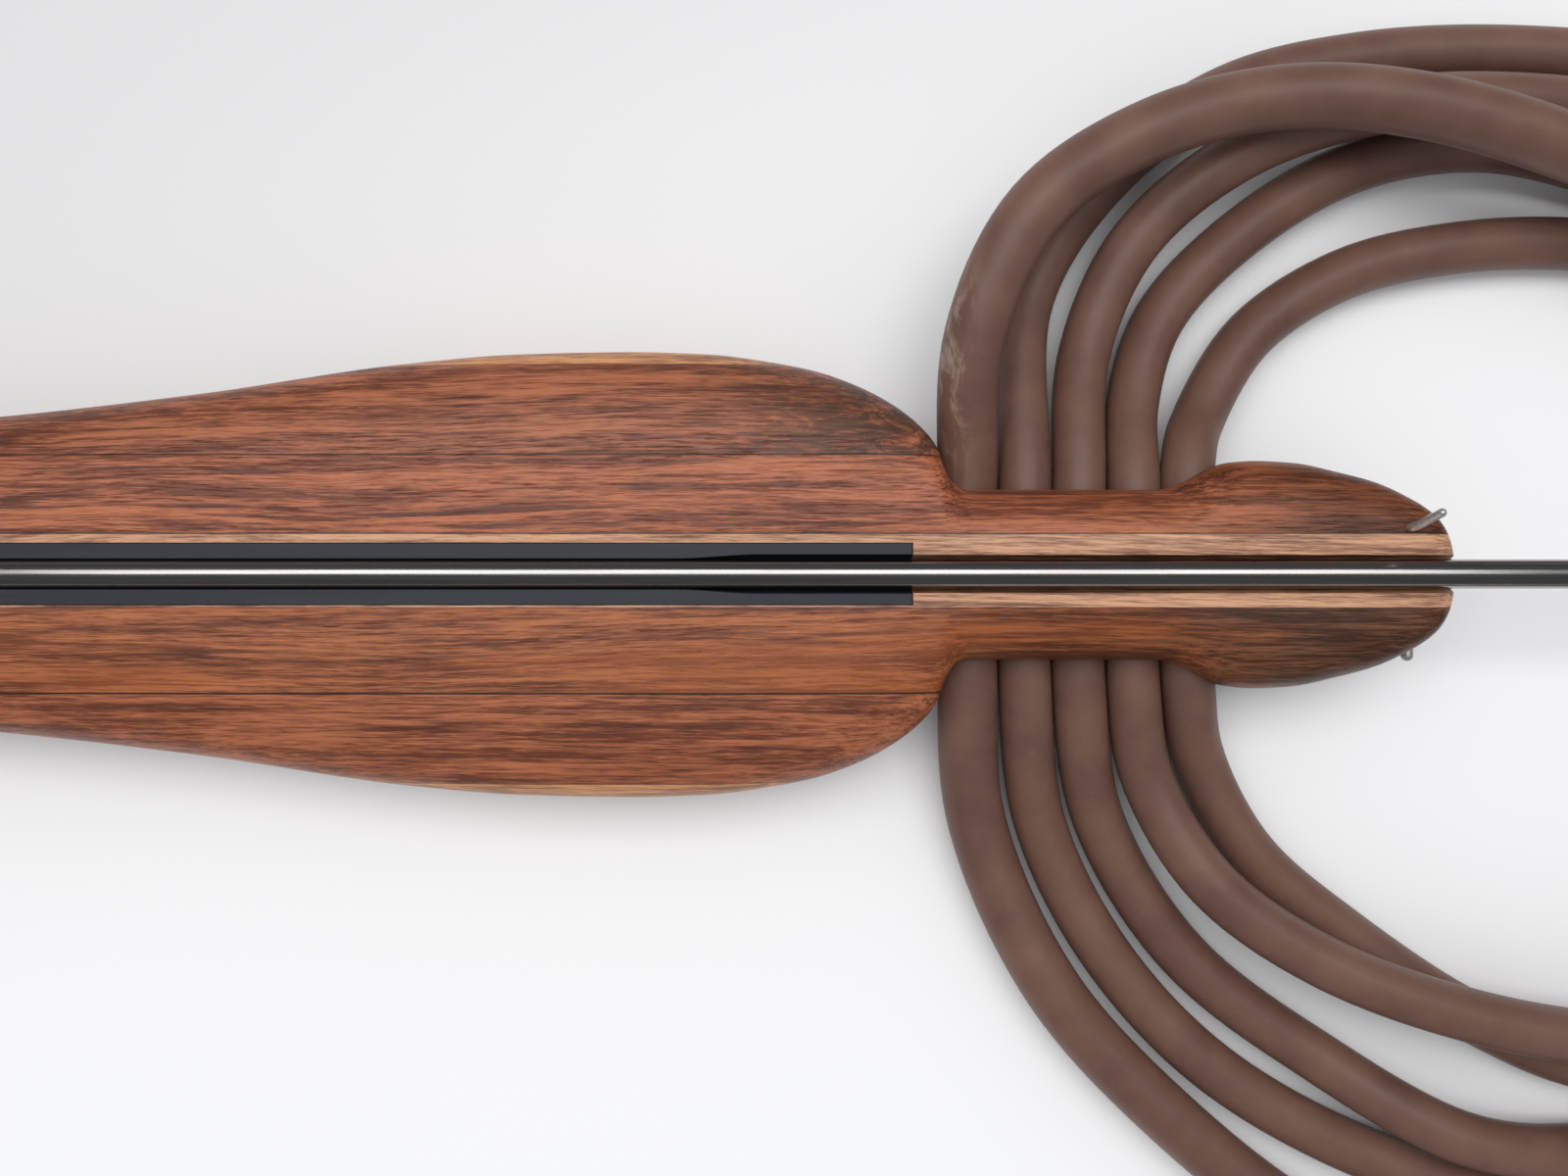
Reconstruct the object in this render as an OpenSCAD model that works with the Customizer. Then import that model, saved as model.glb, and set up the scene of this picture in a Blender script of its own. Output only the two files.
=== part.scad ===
// Laminated wooden speargun with ballast wings, an enclosed track and five rubber bands.
// X runs along the gun towards the muzzle, Y to its left, Z up. The belly lies on Z = 0.
// The origin is on the belly, under the widest point of the wings.

/* [Stock] */
// Distance from the origin to the muzzle tip
muzzle_x = 226; // [222:1:260]
// Length of the wood behind the mechanism
butt_length = 219; // [190:1:400]
// Height of the stock from belly to track face
stock_h = 48; // [44:1:60]
// Half width at the widest point of the wings
wing_half = 63.4; // [58:0.2:78]
// Half width of the neck that the bands pass through
neck_half = 24.2; // [21:0.1:30]
// Half width of the muzzle head in front of the bands
head_half = 32.4; // [28:0.2:40]
// Half width of the slim rear of the stock
rear_half = 19; // [17:0.5:24]
// Squareness of the cross-section, 2 is an ellipse
section_power = 3.6; // [2.4:0.1:5]
// How far the belly is relieved over the grip
belly_relief = 4; // [2:0.5:6]

/* [Laminations] */
// Distance from the centre line to the left face of the pale core board
core_left = 11; // [9.4:0.1:13]
// Distance from the centre line to the right face of the pale core board
core_right = 9.1; // [8.8:0.1:12]
// Distance from the centre line to the outer face of the inner boards
inner_half = 32.5; // [28:0.5:36]
// Distance from the centre line to the outer face of the wing boards
wing_board_half = 58.2; // [50:0.1:62]

/* [Track and shaft] */
// Diameter of the steel shaft
shaft_d = 8; // [6.5:0.1:9]
// Height of the shaft's centre line below the track face
shaft_drop = 1.5; // [1:0.1:3]
// Running clearance between shaft and track
track_gap = 0.1; // [0.05:0.01:0.2]
// Width of the track insert
insert_w = 17; // [15:0.1:18]
// Depth of the track insert
insert_deep = 9; // [7.5:0.1:12]
// Distance from the origin to the front end of the track insert
insert_front = 78; // [60:1:85]
// Width of the relieved groove in front of the closed track
open_groove_w = 10.4; // [9:0.1:13]
// Length of the relieved part inside the insert
relief_length = 48; // [30:1:80]
// Distance from the origin to the shaft's point
shaft_front = 530; // [500:5:640]
// Distance from the origin to the hinge of the barb
barb_x = 488; // [470:1:600]
// Length of the barb behind its hinge
barb_length = 58; // [40:1:80]
// Thickness of the barb
barb_t = 2; // [1.5:0.1:2.5]

/* [Bands] */
// Diameter of the four thinner bands
band_d = 15.5; // [13:0.1:15.6]
// Diameter of the thick band nearest the wings
thick_band_d = 17.5; // [15:0.1:17.6]
// Height of the band slot's floor above the belly
slot_low = 12.6; // [10:0.1:14]
// Height of the band slot
slot_h = 17.8; // [17.7:0.1:20]
// Clearance between the bands and the ends of the slot
slot_gap = 0.3; // [0.1:0.05:0.6]
// Diameter of the wishbone cord
wishbone_d = 2.6; // [1.8:0.1:3]
// Diameter of the whipping that closes a band's end
tie_d = 10; // [8:0.1:12]
// Length of the whipping
tie_length = 6; // [4:0.5:8]

/* [Muzzle fittings] */
// Diameter of the bent line hook
hook_d = 2.4; // [1.8:0.1:3]
// Height of the hook above the track face
hook_rise = 10; // [6:0.5:14]
// Diameter of the side pin
pin_d = 3.4; // [2.5:0.1:4]
// How far the side pin stands out of the wood
pin_out = 3; // [2:0.1:6]

/* [Mechanism] */
// Distance from the origin back to the front wall of the mechanism housing
mech_front = 836; // [832:1:860]
// Length of the mechanism housing
mech_length = 70; // [68:1:90]
// Width of the mechanism housing
mech_w = 14; // [13:0.1:15]
// Wall thickness of the housing
mech_wall = 1.8; // [1.2:0.1:2]
// Height of the housing above the track face
mech_proud = 6; // [5:0.5:9]
// Clearance between the housing and its pocket in the wood
pocket_gap = 0.2; // [0.1:0.05:0.4]
// Thickness of the sear and of the trigger
lever_t = 5; // [4:0.1:5.2]
// Diameter of the mechanism's pins
mech_pin_d = 4; // [3:0.1:4.5]
// Running clearance on the pins
pin_gap = 0.05; // [0.02:0.01:0.1]
// Thickness of the line release lever
release_t = 3; // [2:0.1:4]

/* [Grip] */
// Thickness of the grip frame between its scales
frame_t = 10; // [9:0.5:14]
// Thickness of each grip scale
scale_t = 9; // [6:0.5:12]
// Width of the trigger guard
guard_w = 12; // [9:0.5:16]
// Thickness of the trigger guard
guard_t = 2.4; // [2:0.1:3]
// Depth of the trigger guard below the belly
guard_deep = 48; // [46:1:60]
// Diameter of the bolts that hold the grip
bolt_d = 5; // [4:0.1:6]
// Thickness of the rubber butt pad
butt_t = 12; // [8:0.5:20]

/* [Hidden] */
$fn = 48;
// A hair that cuts run past the faces they open
past = 1;
shaft_r = shaft_d / 2;
shaft_z = stock_h - shaft_drop;
groove_r = shaft_r + track_gap;
open_groove_r = open_groove_w / 2;

// Bands: radius of each, and their places side by side in the slot
band_r = [thick_band_d / 2, band_d / 2, band_d / 2, band_d / 2, band_d / 2];
band_x = [96.4, 113.3, 129.2, 145.1, 161];
slot_rear = band_x[0] - band_r[0] - slot_gap;
slot_front = band_x[4] + band_r[4] + slot_gap;

// Mechanism places, measured from the housing's walls and up from the belly
mech_x = -mech_front;
mech_rear = mech_x - mech_length;
mech_low = 12;
mech_top = stock_h + mech_proud;
cavity_half = mech_w / 2 - mech_wall;
// The sear's height follows the room between the housing's floor and the shaft
floor_z = mech_low + 2;
sear_share = (shaft_z - shaft_r - floor_z) / 28.5;
sear_pivot = [mech_x - 54, floor_z + 14 * sear_share];
trigger_pivot = [mech_x - 16, 22];
housing_pin_xz = [[mech_rear + 6, 18], [mech_x - 4.5, 32]];
notch_x = mech_x - 24;
notch_length = 11.5;
shaft_tail = mech_x - 40;
tooth_top = shaft_z - shaft_r - 0.9;
pin_r = mech_pin_d / 2;
release_x = mech_x - 10;
release_z = 26;
release_y = rear_half + 0.6;
release_pin_r = 1.5;
barb_pin_r = 1;
tab_x = [mech_x + 196, mech_x + 231, mech_x + 266];

// Grip places
bolt_x = [mech_rear - 19, mech_rear - 49];
screw_xz = [[mech_rear - 35, -45], [mech_rear - 49, -88]];
guard_front = mech_x + 4;
guard_rear = mech_rear;
guard_screw_x = [guard_front + 8, guard_rear + 10];
guard_screw_r = 1.5;
grip_screw_r = 2;
butt_screw_z = [15, stock_h - 11];
butt_screw_r = 2;
stock_end = mech_rear - butt_length;
relief_x = mech_x + 21;

// The stock's outline from rear to muzzle: distance, half width, belly, top
outline = [
  [stock_end, rear_half - 2, belly_relief, stock_h],
  [stock_end + 30, rear_half, belly_relief, stock_h],
  [mech_x - 14, rear_half, belly_relief, stock_h],
  [relief_x, rear_half + 0.6, belly_relief, stock_h],
  [relief_x + 35, rear_half + 1, 0, stock_h],
  [-600, rear_half + 4, 0, stock_h],
  [-400, rear_half + 12, 0, stock_h],
  [-250, wing_half * 0.63, 0, stock_h],
  [-185, wing_half * 0.70, 0, stock_h],
  [-123, wing_half * 0.81, 0, stock_h],
  [-62, wing_half * 0.95, 0, stock_h],
  [-31, wing_half * 0.99, 0, stock_h],
  [0, wing_half, 0, stock_h],
  [21, wing_half * 0.99, 0, stock_h],
  [40, wing_half * 0.952, 0, stock_h],
  [52, wing_half * 0.913, 0, stock_h],
  [64, wing_half * 0.845, 0, stock_h],
  [74, wing_half * 0.76, 0, stock_h],
  [81, wing_half * 0.672, 0, stock_h],
  [86, wing_half * 0.57, 0, stock_h],
  [88, neck_half + 6, 0, stock_h],
  [91, neck_half + 1.5, 0, stock_h],
  [95, neck_half, 0, stock_h],
  [148, neck_half, 0, stock_h],
  [156, neck_half + 2, 0, stock_h],
  [163, neck_half + 5.6, 0, stock_h],
  [169, head_half - 0.5, 0, stock_h],
  [176, head_half, 0, stock_h],
  [186, head_half - 0.5, 0, stock_h],
  [198, head_half - 3.1, 2, stock_h],
  [muzzle_x - 18, head_half - 6.1, 6, stock_h],
  [muzzle_x - 10, head_half - 10.2, 10, stock_h],
  [muzzle_x - 4, head_half - 14.6, 15, stock_h - 0.6],
  [muzzle_x - 1, head_half - 18.9, 20, stock_h - 2],
  [muzzle_x, head_half - 22.2, 24, stock_h - 3]
];
section_points = 28;

// One rounded cross-section of the stock
function soft_sign(v, power) = sign(v) * pow(abs(v), power);
half_step = 180 / section_points;
flat_share = pow(cos(half_step), 2 / section_power);
function section(p) = [
  for (k = [0 : section_points - 1])
    let (a = (2 * k + 1) * half_step, power = 2 / section_power)
      [p[0], p[1] * soft_sign(cos(a), power) / flat_share,
       (p[2] + p[3]) / 2 + (p[3] - p[2]) / 2 * soft_sign(sin(a), power) / flat_share]
];

// Routes of the bands, from the upper end through the slot to the lower end
band_routes = [
  [[392, 24, 24.5], [378, 58, 25.5], [350, 84, 27], [316, 99, 30], [266, 118, 37],
   [222, 130, 39], [184, 133, 38], [146, 124, 38], [113, 102, 38], [97, 68, 34],
   [band_x[0], 26, 21.6], [band_x[0], -26, 21.6], [101, -74, 10], [123, -123, 9], [158, -162, 9],
   [204, -197, 9], [260, -218, 9], [318, -214, 10], [371, -193, 19], [404, -153, 27],
   [411, -106, 28], [403, -62, 27.5], [392, -24, 24.5]],
  [[452, 24, 8], [442, 66, 8], [412, 104, 8], [368, 134, 8], [316, 152, 8],
   [264, 158, 8], [216, 156, 8], [176, 146, 8], [141, 121, 8], [117, 84, 8],
   [band_x[1], 26, 20.6], [band_x[1], -30, 20.6], [120, -74, 9], [140, -114, 8], [173, -149, 8],
   [222, -176, 8], [276, -190, 8], [332, -188, 8], [383, -164, 8], [424, -126, 8],
   [446, -76, 8], [452, -24, 8]],
  [[432, 24, 8], [422, 62, 8], [394, 94, 8], [354, 118, 9], [308, 133, 16],
   [262, 138, 21.5], [219, 137, 21], [178, 124, 19], [148, 100, 14], [133, 67, 12],
   [band_x[2], 26, 20.6], [band_x[2], -33, 20.6], [138, -74, 9], [163, -114, 8], [202, -144, 9],
   [246, -167, 17], [294, -172, 10], [344, -162, 8], [386, -138, 8], [414, -102, 8],
   [428, -62, 8], [432, -24, 8]],
  [[412, 24, 8], [402, 56, 8], [374, 84, 8], [338, 106, 8], [296, 121, 8],
   [254, 130, 8], [214, 123, 8], [178, 101, 8], [156, 77, 8], [147, 50, 12],
   [band_x[3], 26, 20.6], [band_x[3], -34, 20.6], [151, -61, 15.5], [168, -90, 20], [199, -112, 23],
   [244, -128, 25], [290, -135, 24], [334, -131, 24], [374, -109, 25], [401, -76, 11],
   [410, -44, 8], [412, -24, 8]],
  [[392, 24, 8], [382, 50, 8], [356, 76, 8], [322, 94, 8], [284, 100, 8],
   [246, 99, 8], [212, 91, 8], [184, 73, 8], [167, 47, 12], [band_x[4], 32, 20.6],
   [band_x[4], -32, 20.6], [168, -56, 10], [184, -84, 8], [212, -108, 8], [250, -133, 8],
   [288, -148, 8], [328, -144, 8], [358, -119, 8], [378, -84, 8], [390, -50, 8],
   [392, -24, 8]]
];
// Route of a wishbone between the two whippings of its band, sagging in the middle
function wishbone_route(k) =
  let (end = band_routes[k][0], x = end[0], y = end[1] - tie_length, z = end[2])
    [[x, y, z], [x + 2, y - 5, z - 2], [x + 6, y - 12, z - 5.5], [x + 7, 0, z - 6.4],
     [x + 6, 12 - y, z - 5.5], [x + 2, 5 - y, z - 2], [x, -y, z]];

// A closed tube of round section along a route, cut square to the direction ends
function unit(v) = v / norm(v);
function along(path, i, ends) =
  i == 0 || i == len(path) - 1 ? ends : unit(path[i + 1] - path[i - 1]);
module tube(path, r, sides, ends) {
  n = len(path);
  rings = [
    for (i = [0 : n - 1])
      let (t = along(path, i, ends), side = unit(cross(t, [0, 0, 1])), up = cross(side, t))
        for (k = [0 : sides - 1])
          let (a = 360 * (k + 0.5) / sides)
            path[i] + r * cos(a) * side + r * sin(a) * up
  ];
  walls = [
    for (i = [0 : n - 2], k = [0 : sides - 1])
      [i * sides + k, i * sides + (k + 1) % sides,
       (i + 1) * sides + (k + 1) % sides, (i + 1) * sides + k]
  ];
  first = [for (k = [sides - 1 : -1 : 0]) k];
  last = [for (k = [0 : sides - 1]) (n - 1) * sides + k];
  polyhedron(rings, concat(walls, [first, last]), convexity = 6);
}

// A plate of the given side outline, centred on the XZ plane at y
module plate(points, t, y = 0) {
  translate([0, y + t / 2, 0]) rotate([90, 0, 0]) linear_extrude(t) polygon(points);
}

// A cylinder along Y, centred at x, y, z
module cross_pin(x, z, r, length, y = 0) {
  translate([x, y, z]) rotate([90, 0, 0]) cylinder(r = r, h = length, center = true);
}

// A cylinder along X from x0 to x1
module long_pin(x0, x1, r, y, z) {
  translate([x0, y, z]) rotate([0, 90, 0]) cylinder(r = r, h = x1 - x0);
}

// The whole stock as one rounded loft
module stock_loft() {
  n = len(outline);
  m = section_points;
  rings = [for (p = outline) each section(p)];
  walls = [
    for (i = [0 : n - 2], k = [0 : m - 1])
      [i * m + k, (i + 1) * m + k, (i + 1) * m + (k + 1) % m, i * m + (k + 1) % m]
  ];
  rear = [for (k = [0 : m - 1]) k];
  front = [for (k = [m - 1 : -1 : 0]) (n - 1) * m + k];
  polyhedron(rings, concat(walls, [rear, front]), convexity = 8);
}

// The part of the loft between two vertical glue planes, side 1 on the left and -1 on the right
module board(side, y0, y1, x0, x1) {
  intersection() {
    stock_loft();
    translate([x0, side > 0 ? y0 : -y1, -past]) cube([x1 - x0, y1 - y0, stock_h + 2 * past]);
  }
}

// The opening through the neck, with rounded ends
module band_slot() {
  r = slot_h / 2 - 3;
  long = slot_front - slot_rear;
  wide = 2 * wing_half;
  translate([slot_rear, -wide / 2, slot_low + r]) cube([long, wide, slot_h - 2 * r]);
  translate([slot_rear + r, -wide / 2, slot_low]) cube([long - 2 * r, wide, slot_h]);
  for (x = [slot_rear + r, slot_front - r], z = [slot_low + r, slot_low + slot_h - r])
    cross_pin(x, z, r, wide);
}

// A channel for the shaft, round at the bottom and open at the top
module open_groove(x0, x1, r) {
  long_pin(x0, x1, r, 0, shaft_z);
  translate([x0, -r, shaft_z]) cube([x1 - x0, 2 * r, stock_h]);
}

// Channel, pocket and holes of the core board and its rear end
module core_cuts() {
  translate([mech_x, -insert_w / 2, stock_h - insert_deep])
    cube([insert_front - mech_x + past, insert_w, insert_deep + past]);
  translate([mech_rear - pocket_gap, -mech_w / 2 - pocket_gap, mech_low - pocket_gap])
    cube([mech_length + 2 * pocket_gap, mech_w + 2 * pocket_gap, stock_h]);
  translate([mech_x - 44, -lever_t / 2 - 0.6, -past])
    cube([38, lever_t + 1.2, mech_low + 2 * past]);
  for (x = bolt_x) {
    translate([x, 0, -past]) cylinder(r = bolt_d / 2 + pin_gap, h = stock_h + 2 * past);
    translate([x, 0, stock_h - 4]) cylinder(r = bolt_d + pin_gap, h = 4 + past);
  }
  for (x = guard_screw_x)
    translate([x, 0, 0]) cylinder(r = guard_screw_r + pin_gap, h = 11);
  for (z = butt_screw_z)
    long_pin(stock_end - past, stock_end + 24, butt_screw_r + pin_gap, 0, z);
  for (p = housing_pin_xz) cross_pin(p[0], p[1], pin_r + pin_gap, 3 * core_left);
}

module core_board() {
  color("#b98d6a") difference() {
    board(1, -core_right, core_left, relief_x, insert_front);
    core_cuts();
  }
}
module rear_core() {
  color("#b98d6a") difference() {
    board(1, -core_right, core_left, stock_end, relief_x);
    core_cuts();
  }
}
module muzzle_core() {
  color("#b98d6a") difference() {
    board(1, -core_right, core_left, insert_front, muzzle_x);
    band_slot();
    open_groove(insert_front - past, muzzle_x + past, open_groove_r);
  }
}

function core_face(side) = side > 0 ? core_left : core_right;
module inner_board(side) {
  color("#8a4a2c") difference() {
    board(side, core_face(side), inner_half, stock_end, insert_front);
    for (p = housing_pin_xz) cross_pin(p[0], p[1], pin_r + pin_gap, 34);
    if (side > 0)
      cross_pin(release_x, release_z, release_pin_r + pin_gap, 24, rear_half - 2);
  }
}
module inner_board_left() { inner_board(1); }
module inner_board_right() { inner_board(-1); }

// The inner boards' front ends, beside the slot and in the muzzle head
module muzzle_cheek(side) {
  color("#8a4a2c") difference() {
    union() {
      board(side, core_face(side), inner_half, insert_front, slot_rear);
      board(side, core_face(side), wing_half, slot_rear, muzzle_x);
    }
    band_slot();
    if (side > 0) line_hook_bore();
    else cross_pin(pin_x, pin_z, pin_d / 2 + pin_gap, 24, -pin_y);
  }
}
module muzzle_cheek_left() { muzzle_cheek(1); }
module muzzle_cheek_right() { muzzle_cheek(-1); }

module wing_board(side) {
  color("#6d3a22") board(side, inner_half, wing_board_half, mech_x, slot_rear);
}
module wing_board_left() { wing_board(1); }
module wing_board_right() { wing_board(-1); }

module edge_strip(side) {
  color("#a8683a") board(side, wing_board_half, wing_half + past, mech_x, slot_rear);
}
module edge_strip_left() { edge_strip(1); }
module edge_strip_right() { edge_strip(-1); }

module track_insert() {
  color("#1e232b") difference() {
    translate([mech_x + 1, -insert_w / 2, stock_h - insert_deep])
      cube([insert_front - mech_x - 1, insert_w, insert_deep]);
    open_groove(mech_x, insert_front + past, groove_r);
    open_groove(insert_front - relief_length, insert_front + past, open_groove_r);
  }
}

// The bent hook on the left of the muzzle
hook_foot = [muzzle_x - 13, 12.6];
hook_bend = [muzzle_x - 13, 12.6, stock_h + 1];
hook_end = [muzzle_x - 10, 16, stock_h + hook_rise];
hook_buried = 16;
module line_hook_bore() {
  translate([hook_foot[0], hook_foot[1], stock_h - hook_buried - 1])
    cylinder(r = hook_d / 2 + pin_gap, h = 40);
}
module line_hook_left() {
  lean = hook_end - hook_bend;
  long = norm(lean);
  color("silver") union() {
    translate([hook_foot[0], hook_foot[1], stock_h - hook_buried])
      cylinder(r = hook_d / 2, h = hook_bend[2] - stock_h + hook_buried, $fn = 24);
    translate(hook_bend - hook_d / 2 * lean / long)
      rotate([0, acos(lean[2] / long), atan2(lean[1], lean[0])])
        cylinder(r = hook_d / 2 - 0.01, h = long + hook_d / 2, $fn = 24);
    translate(hook_end) sphere(r = hook_d / 2, $fn = 24);
  }
}

// The round-ended pin on the right of the muzzle
pin_x = muzzle_x - 4;
pin_z = 27;
pin_y = head_half - 14.4;
pin_end = head_half - 12.2 + pin_out;
module line_pin_right() {
  inside = 12;
  color("silver") union() {
    cross_pin(pin_x, pin_z, pin_d / 2, pin_end - inside, -(pin_end + inside) / 2);
    translate([pin_x, -pin_end, pin_z]) sphere(r = pin_d / 2, $fn = 32);
  }
}

module spear_shaft() {
  point = 26;
  color("#5b5d60") difference() {
    union() {
      long_pin(shaft_tail, shaft_front - point, shaft_r, 0, shaft_z);
      translate([shaft_front - point, 0, shaft_z]) rotate([0, 90, 0])
        cylinder(r1 = shaft_r, r2 = 0.4, h = point);
    }
    translate([notch_x - notch_length, -shaft_r - past, shaft_z - shaft_r - past])
      cube([notch_length, 2 * shaft_r + 2 * past, past + shaft_r - 0.9]);
    translate([barb_x - 19, -barb_t / 2 - 0.1, shaft_z - 3])
      cube([25, barb_t + 0.2, shaft_r + 4]);
    cross_pin(barb_x, shaft_z, barb_pin_r + pin_gap, 3 * shaft_r);
  }
}

module loading_tabs() {
  top = shaft_z + shaft_r;
  color("silver") difference() {
    for (x = tab_x)
      plate([[x - 9, top - 2], [x + 3, top - 2], [x + 3, top + 5], [x, top + 6], [x - 9, top]], 2.4);
    long_pin(tab_x[0] - 20, tab_x[2] + 20, shaft_r, 0, shaft_z);
  }
}

module flopper_barb() {
  top = shaft_z + shaft_r;
  tail = barb_x - barb_length;
  color("silver") difference() {
    union() {
      cross_pin(barb_x, shaft_z, 2.6, barb_t);
      plate([[barb_x + 0.5, shaft_z + 2.5], [barb_x - 18, top + 3.2], [tail + 6, top + 2.4],
             [tail, top + 1], [tail + 8, top + 0.6], [barb_x - 18, top + 0.6],
             [barb_x - 2.4, shaft_z - 0.8]], barb_t);
    }
    cross_pin(barb_x, shaft_z, barb_pin_r + pin_gap, 2 * barb_t);
  }
}

module flopper_rivet() {
  color("silver") cross_pin(barb_x, shaft_z, barb_pin_r, shaft_d - 0.6);
}

// The side walls, ends and roof of the mechanism housing, open below
module mech_housing() {
  rear = mech_rear;
  color("silver") difference() {
    plate([[rear, mech_low], [mech_x, mech_low], [mech_x, mech_top - 4],
           [mech_x - 6, mech_top], [rear + 10, mech_top], [rear, mech_top - 8]], mech_w);
    plate([[rear + 2, mech_low + 2], [mech_x - 2, mech_low + 2], [mech_x - 2, mech_top - 5],
           [mech_x - 7, mech_top - 2], [rear + 11, mech_top - 2], [rear + 2, mech_top - 9]],
          2 * cavity_half);
    translate([mech_x - 44, -lever_t / 2 - 0.6, mech_low - past])
      cube([38, lever_t + 1.2, 4]);
    long_pin(mech_x - 12, mech_x + past, groove_r, 0, shaft_z);
    for (p = [sear_pivot, trigger_pivot])
      cross_pin(p[0], p[1], pin_r + pin_gap, 2 * mech_w);
    for (p = housing_pin_xz) cross_pin(p[0], p[1], pin_r + pin_gap, 2 * mech_w);
  }
}

module housing_pins() {
  color("silver") for (p = housing_pin_xz) cross_pin(p[0], p[1], pin_r, core_left + core_right + 12);
}

module sear() {
  x = sear_pivot[0];
  z = sear_pivot[1];
  k = sear_share;
  color("gray") difference() {
    plate([[x - 7, z - 4 * k], [x + 6, z - 7 * k], [x + 22, z - 2 * k], [x + 29, z + 5 * k],
           [x + 28.5, tooth_top], [x + 23.5, tooth_top], [x + 22.5, z + 8 * k],
           [x + 10, z + 7 * k], [x - 3, z + 8 * k], [x - 8, z + 4 * k]], lever_t);
    cross_pin(x, z, pin_r + pin_gap, 2 * lever_t);
  }
}
module sear_pin() {
  color("silver") cross_pin(sear_pivot[0], sear_pivot[1], pin_r, mech_w);
}

// A torsion spring of three close turns beside its lever, with one arm
module torsion_spring(pivot, arm) {
  pitch = (cavity_half - lever_t / 2 - 1.1) / 2;
  wire = 0.5625 * pitch;
  coil = pin_r + 0.45 + wire;
  translate([pivot[0], lever_t / 2 + 0.6, pivot[1]]) rotate([-90, 0, 0]) {
    rotate_extrude($fn = 32)
      for (turn = [0 : 2]) translate([coil, pitch * turn]) circle(wire, $fn = 16);
    rotate([0, 0, arm]) translate([coil, 0, 0]) rotate([-90, 0, 0])
      cylinder(r = 0.8 * wire, h = 9, $fn = 16);
  }
}
module sear_spring() { color("gold") torsion_spring(sear_pivot, 100); }
module trigger_spring() { color("gold") torsion_spring(trigger_pivot, 200); }

module trigger() {
  x = trigger_pivot[0];
  z = trigger_pivot[1];
  color("gray") difference() {
    plate([[x - 6, z + 6.5], [x + 2, z + 6], [x + 5, z], [x + 4, z - 8], [x, z - 18],
           [x - 4, z - 32], [x - 6, z - 46], [x - 10, z - 58], [x - 14, z - 58],
           [x - 12, z - 44], [x - 9, z - 30], [x - 6, z - 16], [x - 5, z - 6], [x - 6.5, z]],
          lever_t);
    cross_pin(x, z, pin_r + pin_gap, 2 * lever_t);
  }
}
module trigger_pin() {
  color("silver") cross_pin(trigger_pivot[0], trigger_pivot[1], pin_r, mech_w);
}

module line_release_lever() {
  x = release_x;
  z = release_z;
  color("silver") difference() {
    plate([[x - 4, z - 3], [x, z - 5], [x + 4, z - 3], [x + 4.6, z + 3], [x + 1, z + 14],
           [x - 2, z + 26], [x - 7, z + 31], [x - 10, z + 30], [x - 7, z + 22],
           [x - 5, z + 10]], release_t, release_y + release_t / 2);
    cross_pin(x, z, release_pin_r + pin_gap, 4 * release_t, release_y);
  }
}
module line_release_pin() {
  color("silver") union() {
    cross_pin(release_x, release_z, release_pin_r, 11.2, release_y + release_t - 5.3);
    cross_pin(release_x, release_z, 2 * release_pin_r, 1, release_y + release_t + 0.8);
  }
}

// Side outlines of the frame and the scales, measured from the housing's rear wall
grip_outline = [
  [-1, belly_relief], [-3, -8], [-12, -28], [-14, -52], [-21, -78], [-28, -104], [-35, -110],
  [-68, -112], [-76, -105], [-67, -80], [-58, -52], [-56, -26], [-64, -8],
  [-84, belly_relief - 4], [-98, belly_relief]
];
scale_outline = [
  [-5, -10], [-13, -28], [-15, -52], [-22, -78], [-29, -103], [-36, -108], [-67, -110],
  [-73, -104], [-65, -80], [-56, -52], [-54, -26], [-61, -10]
];
module grip_frame() {
  color("#2b2b2b") difference() {
    translate([mech_rear, 0, 0]) plate(grip_outline, frame_t);
    for (x = bolt_x) translate([x, 0, -24]) cylinder(r = bolt_d / 2 + pin_gap, h = 40);
    for (p = screw_xz) cross_pin(p[0], p[1], grip_screw_r + pin_gap, 2 * frame_t);
  }
}
module grip_scale(side) {
  color("#3b2418") difference() {
    translate([mech_rear, 0, 0])
      plate(scale_outline, scale_t, side * (frame_t + scale_t) / 2);
    for (p = screw_xz) {
      cross_pin(p[0], p[1], grip_screw_r + pin_gap, 6 * frame_t);
      cross_pin(p[0], p[1], 2 * grip_screw_r, 4, side * (frame_t / 2 + scale_t));
    }
  }
}
module grip_scale_left() { grip_scale(1); }
module grip_scale_right() { grip_scale(-1); }
module grip_screws() {
  length = frame_t + 2 * scale_t - 2.4;
  color("silver") for (p = screw_xz) {
    cross_pin(p[0], p[1], grip_screw_r, length);
    for (side = [-1, 1]) cross_pin(p[0], p[1], 1.8 * grip_screw_r, 1.4, side * length / 2);
  }
}
module grip_bolts() {
  color("silver") for (x = bolt_x) {
    translate([x, 0, -22]) cylinder(r = bolt_d / 2, h = stock_h + 20);
    translate([x, 0, stock_h - 3.8]) cylinder(r = bolt_d, h = 3.4);
  }
}

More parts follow.
